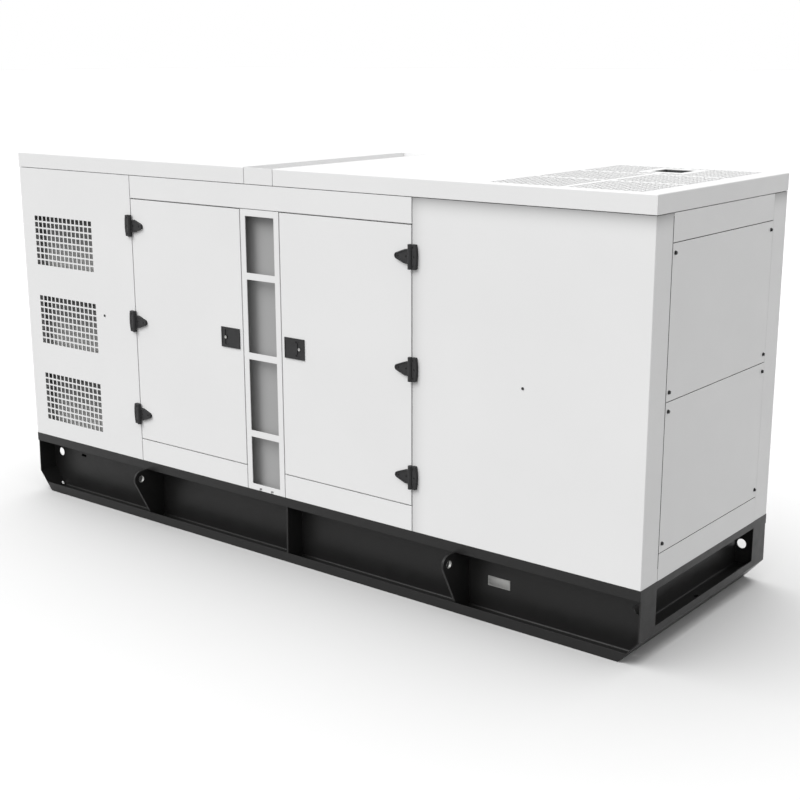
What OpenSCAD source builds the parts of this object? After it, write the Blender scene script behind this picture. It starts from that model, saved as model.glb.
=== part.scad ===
// Sound-attenuated diesel generating set on a skid base.
// +X is the radiator end, -Y the door side, the floor is at zero height.

/* [Overall] */
// Length of the set
set_l = 4000; // [3800:10:4600]
// Width of the canopy
set_w = 1250; // [1200:10:1500]
// Height from the floor to the roof
set_h = 1975; // [1900:5:2300]

/* [Skid base] */
// Height of the base
base_h = 344; // [310:2:400]
// Plate thickness
base_t = 6; // [4:1:9]
// Height of the folded lip along the top of each side
top_lip_h = 48; // [36:1:60]
// Height of the folded lip along the bottom of each side
low_lip_h = 48; // [30:1:60]
// Depth of the recess in each side
side_recess = 113; // [100:1:125]
// How far the bottom lip stands in from the top lip
low_inset = 2; // [0:1:30]
// Width of the corner plates seen on the ends
corner_w = 142; // [132:1:160]
// Height at which the ends begin to slope in
knee_z = 109; // [90:1:130]
// Run of the sloping ends along the floor
slope_run = 95; // [80:1:130]
// Depth of the recess in each end
end_recess = 95; // [85:1:130]
// Height of the top lip across the ends
end_top_lip_h = 35; // [24:1:50]
// Height of the bottom lip across the ends
end_low_lip_h = 33; // [24:1:45]
// Diameter of the drag holes
drag_hole_d = 48; // [36:1:56]
// Distance of the drag holes from the ends
drag_hole_in = 66; // [60:1:70]
// Height of the drag holes
drag_hole_z = 210; // [190:1:230]
// Thickness of the middle rib in each side
rib_t = 10; // [6:1:16]

/* [Lifting lugs] */
// Distance of the lugs from the middle
lug_x = 1045; // [900:5:1200]
// Thickness of a lug
lug_t = 12; // [10:1:25]
// Radius of the rounded nose
lug_r = 45; // [38:1:55]
// Diameter of the shackle hole
lug_hole_d = 38; // [26:1:46]
// Reach of the hole beyond the canopy side
lug_reach = 46; // [40:1:60]

/* [Canopy] */
// Sheet thickness
sheet_t = 3; // [2:0.5:4]
// Depth of the folded panel edges
tray_d = 25; // [22:1:32]
// Gap between fixed panels
seam = 3; // [2:0.5:4]
// Height of the roof edge
fascia_h = 80; // [60:1:110]
// Bend radius of the roof and corner edges
bend_r = 4; // [4:1:10]
// Height of the header over the doors
header_h = 122; // [90:1:150]
// Height of the sill under the doors
sill_h = 123; // [90:1:150]
// Depth by which the plain panels stand back
blank_inset = 1; // [0:1:12]
// Width of the frame tubes
tube = 40; // [30:1:50]
// Height of the roof rails
rail_drop = 120; // [100:1:140]

/* [Door bay] */
// Middle of the door bay along the set
bay_x = -134; // [-200:2:-60]
// Width of each door with its gap
door_pitch = 804; // [700:2:860]
// Gap round the doors
door_gap = 6; // [5:0.5:8]
// Depth of the folded door edges
door_d = 18; // [14:1:18]
// Thickness of the acoustic pad in each door
pad_t = 45; // [30:1:60]
// Clearance round the acoustic pads
pad_clear = 14; // [12:1:24]
// Width of the middle post with its gaps
post_w = 262; // [240:2:300]
// Depth of the pockets in the middle post
pocket_d = 55; // [45:1:58]
// Width of the pocket windows
window_w = 190; // [150:1:200]
// Width of the bars round the pocket windows
window_bar = 34; // [24:1:44]

/* [Hinges and latches] */
// Height of a hinge
hinge_h = 112; // [96:1:130]
// Width of the fixed block beside the seam
hinge_w = 36; // [30:1:44]
// Thickness of the fixed block
hinge_t = 15; // [12:1:18]
// Radius of the knuckles
knuckle_r = 11; // [10:0.5:12]
// Distance of the hinge axis from the door face
axis_out = 13; // [12.5:0.5:15]
// Radius of the hinge pin
pin_r = 4; // [3:0.5:5]
// Running clearance of the hinge
hinge_clear = 0.5; // [0.3:0.1:1]
// Length of the door leaf from the axis
leaf_l = 90; // [70:1:110]
// Height of the door leaf at the knuckle
leaf_h = 66; // [56:1:76]
// Radius of the leaf tip
leaf_r = 15; // [12:1:18]
// Thickness of the door leaf
leaf_t = 13; // [10:1:14]
// Distance of the outer hinges from the middle one
hinge_step = 511; // [440:1:560]
// Width of a latch plate
latch_w = 128; // [100:1:140]
// Height of a latch plate
latch_h = 102; // [80:1:120]
// Thickness of a latch plate
latch_t = 6; // [4:1:10]
// Distance of a latch from the free edge of its door
latch_in = 20; // [14:1:40]

/* [Air grilles] */
// Spacing of the punched holes
hole_pitch = 35.6; // [32:0.2:38]
// Side of a punched hole
hole_w = 26.5; // [20:0.5:28]
// Holes across an inlet grille
grille_cols = 14; // [8:1:16]
// Holes up an inlet grille
grille_rows = 8; // [5:1:9]
// Distance of the inlet grilles from the end
grille_in = 356; // [320:2:500]
// Height of the lowest inlet grille over the base
grille_z = 240; // [200:1:260]
// Height between inlet grilles
grille_step = 453; // [380:1:470]
// Holes along each side of a roof grille
roof_holes = 10; // [6:1:10]
// Distance of the roof grilles from the end
roof_grille_in = 463; // [440:1:520]
// Spacing of the roof grilles
roof_grille_step = 384; // [372:1:392]
// Side of the exhaust opening
exhaust_w = 155; // [120:1:180]
// Distance of the exhaust opening from the middle of the roof
exhaust_y = 400; // [360:2:420]
// Width of the cross gutter in the roof
gutter_w = 191; // [150:1:210]
// Depth of the cross gutter
gutter_d = 60; // [40:1:76]

/* [Engine and alternator] */
// Height of the crankshaft line
shaft_z = 800; // [760:5:850]
// Place of the joint between engine and alternator
coupling_x = -330; // [-400:5:-280]
// Length of the engine block
block_l = 980; // [900:5:1040]
// Width of the engine block
block_w = 460; // [400:5:500]
// Height of the engine block
block_h = 440; // [400:5:480]
// Radius of the flywheel housing
housing_r = 300; // [270:5:310]
// Length of the alternator body
alternator_l = 900; // [800:5:950]
// Radius of the alternator body
alternator_r = 290; // [250:5:300]
// Distance of the engine rails from the middle
rail_y = 330; // [310:5:360]
// Width of an engine rail
rail_w = 80; // [60:1:100]
// Height of an engine rail
rail_h = 120; // [100:1:140]
// Thickness of the radiator core
core_t = 130; // [100:1:160]
// Width of the radiator
radiator_w = 980; // [860:5:1020]
// Height of the radiator
radiator_h = 1180; // [1000:5:1240]
// Radius of the silencer
silencer_r = 180; // [150:5:200]
// Length of the silencer
silencer_l = 820; // [760:5:880]
// Radius of the exhaust pipe
pipe_r = 55; // [45:1:60]

/* [Hidden] */

$fn = 48;
// Overrun of every cut
over = 1;

half_l = set_l/2;
half_w = set_w/2;
roof_z = set_h - fascia_h;
wall_top = roof_z - seam;
frame_x = half_l - tray_d;
frame_y = half_w - tray_d;
frame_in_x = frame_x - tube;
frame_in_y = frame_y - tube;
rail_top = set_h - sheet_t;
rail_low = rail_top - rail_drop;

// Heights of the lips and plates of the base
lip_z = base_h - top_lip_h;
flange_z = base_h - base_t;
web_y = half_w - side_recess;
web_in_y = web_y - base_t;
low_y = half_w - low_inset;
lip_in_y = half_w - base_t;
low_in_y = low_y - base_t;
corner_y = half_w - corner_w;
wall_x = half_l - end_recess;
lug_z = lip_z - lug_r;
lug_y = half_w + lug_reach;
web_slot_w = 42;
web_slot_h = 14;
web_slot_in = 274;
web_slot_z = 223;
relief_d = 16;
fold_r = 9;
fold_steps = 5;
cope = 14;
lip_run = slope_run*low_lip_h/knee_z;
drain_d = 26;
tank_end = 350;
tank_side = 8;

// Edges of the door bay
post_l = bay_x - post_w/2;
post_r = bay_x + post_w/2;
bay_l = post_l - door_pitch;
bay_r = post_r + door_pitch;
door_z0 = base_h + sill_h;
door_z1 = roof_z - header_h;
door_mid = (door_z0 + door_z1)/2;
door_w = door_pitch - door_gap;
post_top = door_z1 + door_gap/2 - seam;
gutter_l = bay_x - gutter_w/2;
gutter_r = bay_x + gutter_w/2;
exhaust_x = half_l - roof_grille_in;

// Shares of the pocket heights in the middle post, from the bottom
pocket_shares = [0.197, 0.291, 0.291, 0.221];
post_foot_h = 32;
post_head_h = 33;
notch_w = 18;
notch_h = 14;
notch_step = 80;

function pocket_room() = post_top - base_h - post_foot_h - post_head_h - 3*window_bar;
function pocket_top(i) = i < 0 ? 0 : pocket_shares[i] + pocket_top(i - 1);
function pocket_z(i) = base_h + post_foot_h + pocket_room()*pocket_top(i - 1) + i*window_bar;

white = [0.92, 0.92, 0.92];
black = [0.16, 0.16, 0.17];
plastic = [0.2, 0.2, 0.21];
foam = [0.22, 0.22, 0.23];
steel = [0.5, 0.5, 0.51];
iron = [0.32, 0.37, 0.34];

// Box between two corners
module span(a, b) {
  translate(a) cube(b - a);
}

// Outline in the length and height directions, drawn out from y0 to y1
module side_plate(y0, y1) {
  translate([0, y1, 0]) rotate([90, 0, 0]) linear_extrude(y1 - y0) children();
}

// Outline in the width and height directions, drawn out from x0 to x1
module cross_plate(x0, x1) {
  translate([x0, 0, 0]) rotate([90, 0, 90]) linear_extrude(x1 - x0) children();
}

module both_ends() {
  children();
  mirror([1, 0, 0]) children();
}

module both_sides() {
  children();
  mirror([0, 1, 0]) children();
}

module to_back() {
  mirror([0, 1, 0]) children();
}

function arc(c, r, a0, a1, n) = [for (i = [0:n]) c + r*[cos(a0 + (a1 - a0)*i/n), sin(a0 + (a1 - a0)*i/n)]];

// Angle on the circle of radius r about c where a line from p touches it, past the bottom
function tangent_angle(p, c, r) =
  let (d = p - c) 360 + atan2(d[1], d[0]) - acos(r/norm(d));

// Skid base

module sled_outline() {
  polygon([
    [-half_l + slope_run, 0], [half_l - slope_run, 0], [half_l, knee_z],
    [half_l, base_h], [-half_l, base_h], [-half_l, knee_z]]);
}

// Sloping plate under an end
module nose_outline() {
  polygon([
    [half_l, knee_z], [half_l - slope_run, 0],
    [half_l - slope_run - base_t, 0], [half_l - base_t, knee_z]]);
}

// Bottom lip, cut to the slope of the ends
module low_lip_outline() {
  x = half_l - slope_run;
  polygon([[-x, 0], [x, 0], [x + lip_run, low_lip_h], [-x - lip_run, low_lip_h]]);
}

// Inner round of a fold, in the corner that opens along its first axis and upwards
module fold_outline() {
  polygon(concat(
    [[-base_t/2, fold_r], [-base_t/2, -base_t/2], [fold_r, -base_t/2]],
    arc([fold_r, fold_r], fold_r, 270, 180, fold_steps)));
}

// Foot of a plate in a side recess, coped clear of the fold
function plate_foot() = [
  [-web_y, base_t + cope], [-web_y - cope, base_t], [-low_in_y, base_t], [-low_in_y, low_lip_h]];

// Plate across a side recess, from the web out to the lips
module rib_outline() {
  polygon(concat(
    plate_foot(), [[-low_y, low_lip_h], [-lip_in_y, lip_z], [-lip_in_y, flange_z], [-web_y, flange_z]]));
}

module corner_outline() {
  polygon([
    [-corner_y, knee_z], [-low_y, knee_z], [-lip_in_y, lip_z], [-lip_in_y, flange_z], [-corner_y, flange_z]]);
}

// Slot with round ends
module slot_outline() {
  x = (web_slot_w - web_slot_h)/2;
  polygon(concat(arc([x, 0], web_slot_h/2, -90, 90, 8), arc([-x, 0], web_slot_h/2, 90, 270, 8)));
}

module base_side() {
  color(black) difference() {
    union() {
      side_plate(-web_y, -web_in_y) sled_outline();
      span([-half_l, -half_w, flange_z], [half_l, -web_y, base_h]);
      span([-half_l, -half_w, lip_z], [half_l, -lip_in_y, flange_z]);
      span([-half_l + slope_run, -low_y, 0], [half_l - slope_run, -web_y, base_t]);
      side_plate(-low_y, -low_in_y) low_lip_outline();
      intersection() {
        side_plate(-half_w, 0) sled_outline();
        translate([0, -web_y, base_t]) cross_plate(-half_l, half_l) mirror([1, 0, 0]) fold_outline();
      }
      cross_plate(-rib_t/2, rib_t/2) rib_outline();
      both_ends() {
        side_plate(-low_y, -web_y) nose_outline();
        cross_plate(half_l - base_t, half_l) corner_outline();
      }
    }
    both_ends() {
      translate([half_l - drag_hole_in, -web_y - over, drag_hole_z]) rotate([-90, 0, 0])
        cylinder(h = base_t + 2*over, d = drag_hole_d);
      translate([half_l - slope_run + relief_d, -web_y - relief_d, base_t + relief_d]) rotate([0, 90, 0])
        cylinder(h = 2*(relief_d + base_t), d = relief_d, center = true);
    }
    translate([-half_l + web_slot_in, 0, web_slot_z]) side_plate(-web_y - over, -web_in_y + over) slot_outline();
  }
}

module base_side_front() {
  base_side();
}

module base_side_back() {
  to_back() base_side();
}

module base_end() {
  color(black) difference() {
    union() {
      span([wall_x - base_t, -web_in_y, base_t], [wall_x, web_in_y, flange_z]);
      span([wall_x - base_t, -web_in_y, flange_z], [half_l, web_in_y, base_h]);
      span([half_l - base_t, -corner_y, base_h - end_top_lip_h], [half_l, corner_y, flange_z]);
      span([wall_x, -web_in_y, knee_z - base_t], [half_l - base_t, web_in_y, knee_z]);
      span([half_l - base_t, -corner_y, knee_z], [half_l, corner_y, knee_z + end_low_lip_h]);
      side_plate(-web_in_y, web_in_y) nose_outline();
      translate([wall_x, 0, knee_z]) side_plate(-web_in_y, web_in_y) fold_outline();
    }
    translate([wall_x + end_recess/2, 0, knee_z - base_t - over]) cylinder(h = base_t + 2*over, d = drain_d);
  }
}

module base_end_right() {
  base_end();
}

module base_end_left() {
  mirror([1, 0, 0]) base_end();
}

module base_deck() {
  color(black) span([-wall_x + base_t, -web_in_y, flange_z], [wall_x - base_t, web_in_y, base_h]);
}

module fuel_tank() {
  color(black) span(
    [-half_l + tank_end, -web_in_y + tank_side, base_t], [half_l - tank_end, web_in_y - tank_side, flange_z]);
}

// Lug with a round nose, tangent to the straight edge that runs in to the bottom lip
module lug_outline() {
  nose = [-lug_y, lug_z];
  foot = [-low_in_y, low_lip_h];
  polygon(concat(
    plate_foot(),
    arc(nose, lug_r, tangent_angle(foot, nose, lug_r), 90, 16),
    [[-lip_in_y, lip_z], [-lip_in_y, flange_z], [-web_y, flange_z]]));
}

module lifting_lugs() {
  color(black) both_ends() difference() {
    cross_plate(lug_x - lug_t/2, lug_x + lug_t/2) lug_outline();
    translate([lug_x - lug_t/2 - over, -lug_y, lug_z]) rotate([0, 90, 0])
      cylinder(h = lug_t + 2*over, d = lug_hole_d);
  }
}

module lifting_lugs_front() {
  lifting_lugs();
}

module lifting_lugs_back() {
  to_back() lifting_lugs();
}

// Canopy frame

module frame_posts() {
  color(white) {
    both_sides() {
      for (x = [bay_l, bay_r])
        span([x - tube/2, -frame_y, base_h], [x + tube/2, -frame_in_y, rail_low]);
      both_ends() span([frame_in_x, -frame_y, base_h], [frame_x, -frame_in_y, rail_low]);
      both_ends()
        span([frame_in_x, -corner_y - tube/2, base_h], [frame_x, -corner_y + tube/2, rail_low]);
    }
  }
}

module frame_rails() {
  color(white) both_sides() {
    span([-frame_x, -frame_y, rail_low], [gutter_l + seam/2, -frame_in_y, rail_top]);
    span([gutter_r - seam/2, -frame_y, rail_low], [frame_x, -frame_in_y, rail_top]);
    for (z = [door_z0, door_z1]) {
      span([bay_l + tube/2, -frame_y, z - tube/2], [post_l - tube/2, -frame_in_y, z + tube/2]);
      span([post_r + tube/2, -frame_y, z - tube/2], [bay_r - tube/2, -frame_in_y, z + tube/2]);
    }
  }
  color(white) both_ends()
    span([frame_in_x, -frame_in_y + seam, rail_low], [frame_x, frame_in_y - seam, rail_top]);
}

// Plates behind the inlet grilles, on the inner faces of the posts
module inlet_baffles() {
  color(white) both_sides()
    span([-frame_x, -frame_in_y, base_h], [bay_l + tube/2, -frame_in_y + sheet_t, rail_low]);
}

// Folded sheet panel on the front, its edges turned in by d
module tray(x0, x1, z0, z1, d) {
  difference() {
    span([x0, -half_w, z0], [x1, -half_w + d, z1]);
    span([x0 + sheet_t, -half_w + sheet_t, z0 + sheet_t], [x1 - sheet_t, -half_w + d + over, z1 - sheet_t]);
  }
}

// The same panel on the radiator end
module end_tray(z0, z1) {
  y1 = corner_y - seam/2;
  difference() {
    span([frame_x, -y1, z0], [half_l, y1, z1]);
    span([frame_x - over, -y1 + sheet_t, z0 + sheet_t], [half_l - sheet_t, y1 - sheet_t, z1 - sheet_t]);
  }
}

module hole_grid(cols, rows) {
  for (i = [0:cols - 1], j = [0:rows - 1])
    translate([(i - (cols - 1)/2)*hole_pitch, (j - (rows - 1)/2)*hole_pitch]) square(hole_w, center = true);
}

// Plan of a panel from x0 round the corner of the radiator end, set back by inset
module corner_plan(x0, inset, skin) {
  fx = half_l - inset - skin;
  fy = half_w - inset - skin;
  r = max(bend_r - skin, sheet_t);
  polygon(concat(
    [[x0 + skin, -frame_y], [x0 + skin, -fy]],
    arc([fx - r, -fy + r], r, -90, 0, 5),
    [[fx, -corner_y - seam/2 - skin], [frame_x, -corner_y - seam/2 - skin], [frame_x, -frame_y]]));
}

module corner_panel(x0, inset) {
  difference() {
    translate([0, 0, base_h]) linear_extrude(wall_top - base_h) corner_plan(x0, inset, 0);
    translate([0, 0, base_h + sheet_t]) linear_extrude(wall_top - base_h - 2*sheet_t) {
      corner_plan(x0, inset, sheet_t);
      translate([x0 + sheet_t, -frame_y - over]) square([frame_x - x0 - sheet_t, 2*over]);
      translate([frame_x - over, -frame_y - over])
        square([2*over, frame_y - corner_y - seam/2 - sheet_t + over]);
    }
  }
}

module inlet_panel() {
  mirror([1, 0, 0]) color(white) difference() {
    corner_panel(-bay_l + door_gap/2, 0);
    side_plate(-half_w - over, -half_w + sheet_t + over)
      for (k = [0:2]) translate([half_l - grille_in, base_h + grille_z + k*grille_step])
        hole_grid(grille_cols, grille_rows);
  }
}

module inlet_panel_front() {
  inlet_panel();
}

module inlet_panel_back() {
  to_back() inlet_panel();
}

module header() {
  color(white) tray(bay_l + seam/2, bay_r - seam/2, door_z1 + door_gap/2, wall_top, tray_d);
}

module header_front() {
  header();
}

module header_back() {
  to_back() header();
}

module sills() {
  color(white) {
    tray(bay_l + seam/2, post_l - seam/2, base_h, door_z0 - door_gap/2, tray_d);
    tray(post_r + seam/2, bay_r - seam/2, base_h, door_z0 - door_gap/2, tray_d);
  }
}

module sills_front() {
  sills();
}

module sills_back() {
  to_back() sills();
}

// Face with windows on a hollow box, which is wider than the face and takes the door seals
module middle_post() {
  x0 = post_l + door_gap/2;
  x1 = post_r - door_gap/2;
  box_l = post_l - tube/2;
  box_r = post_r + tube/2;
  back_y = -half_w + pocket_d;
  color(white) difference() {
    union() {
      span([x0, -half_w, base_h], [x1, -frame_y + sheet_t, post_top]);
      span([box_l, -frame_y, base_h], [box_r, back_y + sheet_t, rail_low]);
    }
    span([x0 + sheet_t, -half_w + sheet_t, base_h + sheet_t],
      [x1 - sheet_t, -frame_y + sheet_t + over, post_top - sheet_t]);
    span([box_l + sheet_t, -frame_y + sheet_t, base_h + sheet_t],
      [box_r - sheet_t, back_y, rail_low - sheet_t]);
    for (i = [0:3])
      span([bay_x - window_w/2, -half_w - over, pocket_z(i)],
        [bay_x + window_w/2, -half_w + sheet_t + over, pocket_z(i) + pocket_room()*pocket_shares[i]]);
    for (s = [-1, 1])
      span([bay_x + s*notch_step/2 - notch_w/2, -half_w - over, base_h - over],
        [bay_x + s*notch_step/2 + notch_w/2, -half_w + sheet_t, base_h + notch_h]);
  }
}

module middle_post_front() {
  middle_post();
}

module middle_post_back() {
  to_back() middle_post();
}

module plain_panel() {
  color(white) corner_panel(bay_r + door_gap/2, blank_inset);
}

module plain_panel_front() {
  plain_panel();
}

module plain_panel_back() {
  to_back() plain_panel();
}

module end_strips() {
  color(white) {
    end_tray(base_h, door_z0 - seam/2);
    end_tray(door_z1 + seam/2, wall_top);
  }
}

module end_strips_right() {
  end_strips();
}

module end_strips_left() {
  mirror([1, 0, 0]) end_strips();
}

module access_panel_upper() {
  color(white) end_tray(door_mid + seam/2, door_z1 - seam/2);
}

module access_panel_lower() {
  color(white) end_tray(door_z0 + seam/2, door_mid - seam/2);
}

module access_panels_left() {
  mirror([1, 0, 0]) {
    access_panel_upper();
    access_panel_lower();
  }
}

// Roof

// Section of the roof edge, with the bent corners of the sheet
module roof_section(reach) {
  polygon(concat(
    [[-reach, roof_z]], arc([-reach + bend_r, set_h - bend_r], bend_r, 180, 90, 5),
    arc([reach - bend_r, set_h - bend_r], bend_r, 90, 0, 5), [[reach, roof_z]]));
}

module roof_shell(x0, x1) {
  difference() {
    intersection() {
      cross_plate(x0, x1) roof_section(half_w);
      side_plate(-half_w, half_w) roof_section(half_l);
    }
    span([max(x0, -half_l + sheet_t) - (x0 > -half_l ? over : 0), -half_w + sheet_t, roof_z - over],
      [min(x1, half_l - sheet_t) + (x1 < half_l ? over : 0), half_w - sheet_t, set_h - sheet_t]);
  }
}

module roof_left() {
  color(white) roof_shell(-half_l, gutter_l - seam/2);
}

// Solid margin round the exhaust opening
exhaust_margin = 40;

function by_exhaust(x, y) =
  max(abs(x - exhaust_x), abs(y - exhaust_y)) < (exhaust_w + hole_w)/2 + exhaust_margin;

module roof_holes_plan() {
  for (cx = [-1/2, 1/2], cy = [-1:1], i = [0:roof_holes - 1], j = [0:roof_holes - 1]) {
    x = exhaust_x + cx*roof_grille_step + (i - (roof_holes - 1)/2)*hole_pitch;
    y = cy*roof_grille_step + (j - (roof_holes - 1)/2)*hole_pitch;
    if (!by_exhaust(x, y)) translate([x, y]) square(hole_w, center = true);
  }
  translate([exhaust_x, exhaust_y]) square(exhaust_w, center = true);
}

module roof_right() {
  color(white) difference() {
    roof_shell(gutter_r + seam/2, half_l);
    translate([0, 0, set_h - sheet_t - over]) linear_extrude(sheet_t + 2*over) roof_holes_plan();
  }
}

module roof_gutter() {
  x0 = gutter_l + seam/2;
  x1 = gutter_r - seam/2;
  color(white) difference() {
    union() {
      span([x0, -half_w, set_h - gutter_d - sheet_t], [x1, half_w, set_h]);
      both_sides() span([x0, -half_w, roof_z], [x1, -half_w + sheet_t, set_h]);
    }
    span([x0 + sheet_t, -half_w + sheet_t, set_h - gutter_d],
      [x1 - sheet_t, half_w - sheet_t, set_h + over]);
  }
}

// Doors

function door_x0(side) = side < 0 ? bay_l + door_gap/2 : post_r + door_gap/2;
function hinge_x(side) = side < 0 ? bay_l : bay_r;
function pad_x0(side) = side < 0 ? bay_l : post_r;

module door(side) {
  x0 = door_x0(side);
  color(white) tray(x0, x0 + door_w, door_z0 + door_gap/2, door_z1 - door_gap/2, door_d);
}

module door_pad(side) {
  x0 = pad_x0(side) + tube/2 + pad_clear;
  x1 = pad_x0(side) + door_pitch - tube/2 - pad_clear;
  color(foam) span([x0, -half_w + sheet_t, door_z0 + tube/2 + pad_clear],
    [x1, -half_w + sheet_t + pad_t, door_z1 - tube/2 - pad_clear]);
}

// Shares of the hinge that place the shoulder of the leaf and the screw wells
shoulder_share = 0.34;
leaf_well_shares = [0.27, 0.76];
block_well_shares = [[0.47, 0.13], [0.67, 0.5], [0.47, 0.87]];
well_d = 9;
well_depth = 4;
dish_margin = 6;
dish_depth = 3;
block_r = 10;
block_bow_r = 300;

// Leaf in front view, drawn in from its edge by margin, straight to the shoulder and tangent to the round tip
module leaf_outline(x0, margin) {
  z1 = leaf_h/2 - hinge_clear - margin;
  r = leaf_r - margin;
  tip = [leaf_l - leaf_r, 0];
  shoulder = [leaf_l*shoulder_share, z1];
  a = tangent_angle(shoulder, tip, r) - 360;
  polygon(concat([[x0, -z1], [shoulder[0], -z1]], arc(tip, r, -a, a, 12), [shoulder, [x0, z1]]));
}

// Hinge drawn at its axis, the door towards +X, the door face at axis_out behind the axis
module hinge_leaf() {
  z1 = leaf_h/2 - hinge_clear;
  face_y = axis_out - leaf_t;
  difference() {
    union() {
      translate([0, 0, -z1]) cylinder(h = 2*z1, r = knuckle_r);
      side_plate(face_y, axis_out) leaf_outline(knuckle_r/2, 0);
    }
    translate([0, 0, -z1 - over]) cylinder(h = 2*(z1 + over), r = pin_r + hinge_clear);
    side_plate(face_y - over, face_y + dish_depth) leaf_outline(knuckle_r + dish_margin, dish_margin);
    for (s = leaf_well_shares) translate([leaf_l*s, face_y, 0]) rotate([-90, 0, 0])
      cylinder(h = dish_depth + well_depth, d = well_d);
  }
}

// Block in front view, with round corners and a slightly bowed outer edge
module block_outline(x1, z1) {
  intersection() {
    union() {
      translate([-hinge_w, -z1 + block_r]) square([hinge_w - x1, 2*(z1 - block_r)]);
      translate([-hinge_w + block_r, -z1]) square([hinge_w - x1 - block_r, 2*z1]);
      for (s = [-1, 1]) translate([-hinge_w + block_r, s*(z1 - block_r)]) circle(block_r);
    }
    translate([block_bow_r - hinge_w, 0]) circle(block_bow_r, $fn = 4*$fn);
  }
}

// Fixed block with its two knuckles and the pin, seated by drop below the door face
module hinge_block(drop) {
  z1 = hinge_h/2;
  arm_x = knuckle_r + 2*hinge_clear;
  arm_h = z1 - leaf_h/2;
  face_y = axis_out - hinge_t;
  difference() {
    side_plate(face_y, axis_out + drop) block_outline(arm_x, z1);
    for (s = block_well_shares)
      translate([-hinge_w*s[0], face_y - over, hinge_h*s[1] - z1]) rotate([-90, 0, 0])
        cylinder(h = well_depth + over, d = well_d);
  }
  for (s = [-1, 1]) translate([0, 0, s*(z1 + leaf_h/2)/2]) {
    cylinder(h = arm_h, r = knuckle_r, center = true);
    span([-arm_x, face_y, -arm_h/2], [0, knuckle_r/2, arm_h/2]);
  }
  translate([0, 0, -z1]) cylinder(h = 2*z1, r = pin_r);
}

module at_hinges(side) {
  for (k = [-1:1])
    translate([hinge_x(side), -half_w - axis_out, door_mid + k*hinge_step])
      mirror([side < 0 ? 0 : 1, 0, 0]) children();
}

bezel_w = 5;
bezel_depth = 1.5;
slot_w = 20;
slot_h = 76;
slot_in = 26;
slot_depth = 5;
serif_w = 9;
serif_h = 10;
barrel_d = 19;
barrel_in = 31;

// Latch plate with a raised rim, a finger slot with a step at both ends and a lock barrel at the hinge side
module latch(side) {
  slot_z = (latch_h - slot_h)/2;
  x0 = side < 0 ? post_l - door_gap/2 - latch_in - latch_w : post_r + door_gap/2 + latch_in + latch_w;
  color(plastic) translate([x0, -half_w - latch_t, door_mid - latch_h/2]) mirror([side < 0 ? 0 : 1, 0, 0])
    union() {
      difference() {
        cube([latch_w, latch_t, latch_h]);
        translate([bezel_w, -over, bezel_w])
          cube([latch_w - 2*bezel_w, over + bezel_depth, latch_h - 2*bezel_w]);
        translate([slot_in, -over, slot_z]) cube([slot_w, over + slot_depth, slot_h]);
        for (z = [slot_z, slot_z + slot_h - serif_h])
          translate([slot_in, -over, z]) cube([slot_w + serif_w, over + slot_depth, serif_h]);
      }
      translate([barrel_in, latch_t, latch_h/2]) rotate([90, 0, 0]) cylinder(h = latch_t, d = barrel_d);
    }
}

module left_door() {
  door(-1);
}

module left_door_pad() {
  door_pad(-1);
}

module left_hinge_leaves() {
  color(plastic) at_hinges(-1) hinge_leaf();
}

module left_latch() {
  latch(-1);
}

module right_door() {
  door(1);
}

module right_door_pad() {
  door_pad(1);
}

module right_hinge_leaves() {
  color(plastic) at_hinges(1) hinge_leaf();
}

module right_latch() {
  latch(1);
}

module hinge_blocks_front() {
  color(plastic) {
    at_hinges(-1) hinge_block(0);
    at_hinges(1) hinge_block(blank_inset);
  }
}

module back_doors() {
  to_back() {
    door(-1);
    door(1);
  }
}

module back_hinges() {
  to_back() {
    left_hinge_leaves();
    right_hinge_leaves();
    hinge_blocks_front();
  }
}

module back_latches() {
  to_back() {
    left_latch();
    right_latch();
  }
}

// Engine and alternator

rail_z = base_h + rail_h;
rail_t = 8;
rail_short = 10;
foot_w = 120;
foot_t = 25;
foot_shares = [0.15, 0.85];

crank_drop = 180;
housing_l = 50;
block_z = shaft_z - crank_drop;
block_l_x = coupling_x + housing_l;
block_r_x = block_l_x + block_l;
cylinders = 6;
cylinder_step = block_l/cylinders;
flange_out = 14;
flange_h = 22;
block_rib_w = 16;
block_rib_out = 10;
core_plug_r = 34;
core_plug_out = 6;
core_plug_share = 0.62;
sump_h = 130;
sump_in = 90;

head_h = 110;
head_in = 60;
head_y = block_w/2 - head_in;
head_z = block_z + block_h;
head_gap = 10;
cover_h = 100;
cover_in = 30;
cover_y = head_y - cover_in;
cover_z = head_z + head_h;
cover_gap = 26;
cover_r = 32;
filler_r = 30;
filler_h = 24;

manifold_r = 50;
manifold_share = 0.7;
manifold_in = 80;
manifold_y = head_y + manifold_r*manifold_share;
manifold_z = cover_z - manifold_r;
runner_w = 70;

turbo_share = 0.7;
turbo_l = 190;
turbo_r = 64;
scroll_r = 38;
turbo_x = block_l_x + block_l*turbo_share;
turbo_y = manifold_y + manifold_r;
turbo_z = cover_z + manifold_r;
turbo_top = turbo_z + turbo_r + scroll_r + manifold_r;

cleaner_r = 105;
cleaner_l = 400;
cleaner_gap = 90;
cleaner_y = turbo_y + manifold_r;
cleaner_z = turbo_z + cleaner_r - manifold_r/2;
cleaner_end_x = turbo_x - turbo_l/2 - cleaner_gap;
duct_r = 46;
bracket_t = 30;
bracket_shares = [0.2, 0.8];

filter_r = 58;
filter_h = 250;
filter_step = 150;
filter_head_h = 45;
filter_in = 6;
filter_head_out = 7;
filter_z = block_z + filter_r + flange_h;
starter_r = 56;
starter_l = 300;
starter_in = 18;
starter_y = block_w/2 + starter_r/2;
starter_z = block_z + foot_w + starter_r + foot_t/2;
solenoid_r = 30;
solenoid_l = 170;

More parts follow.
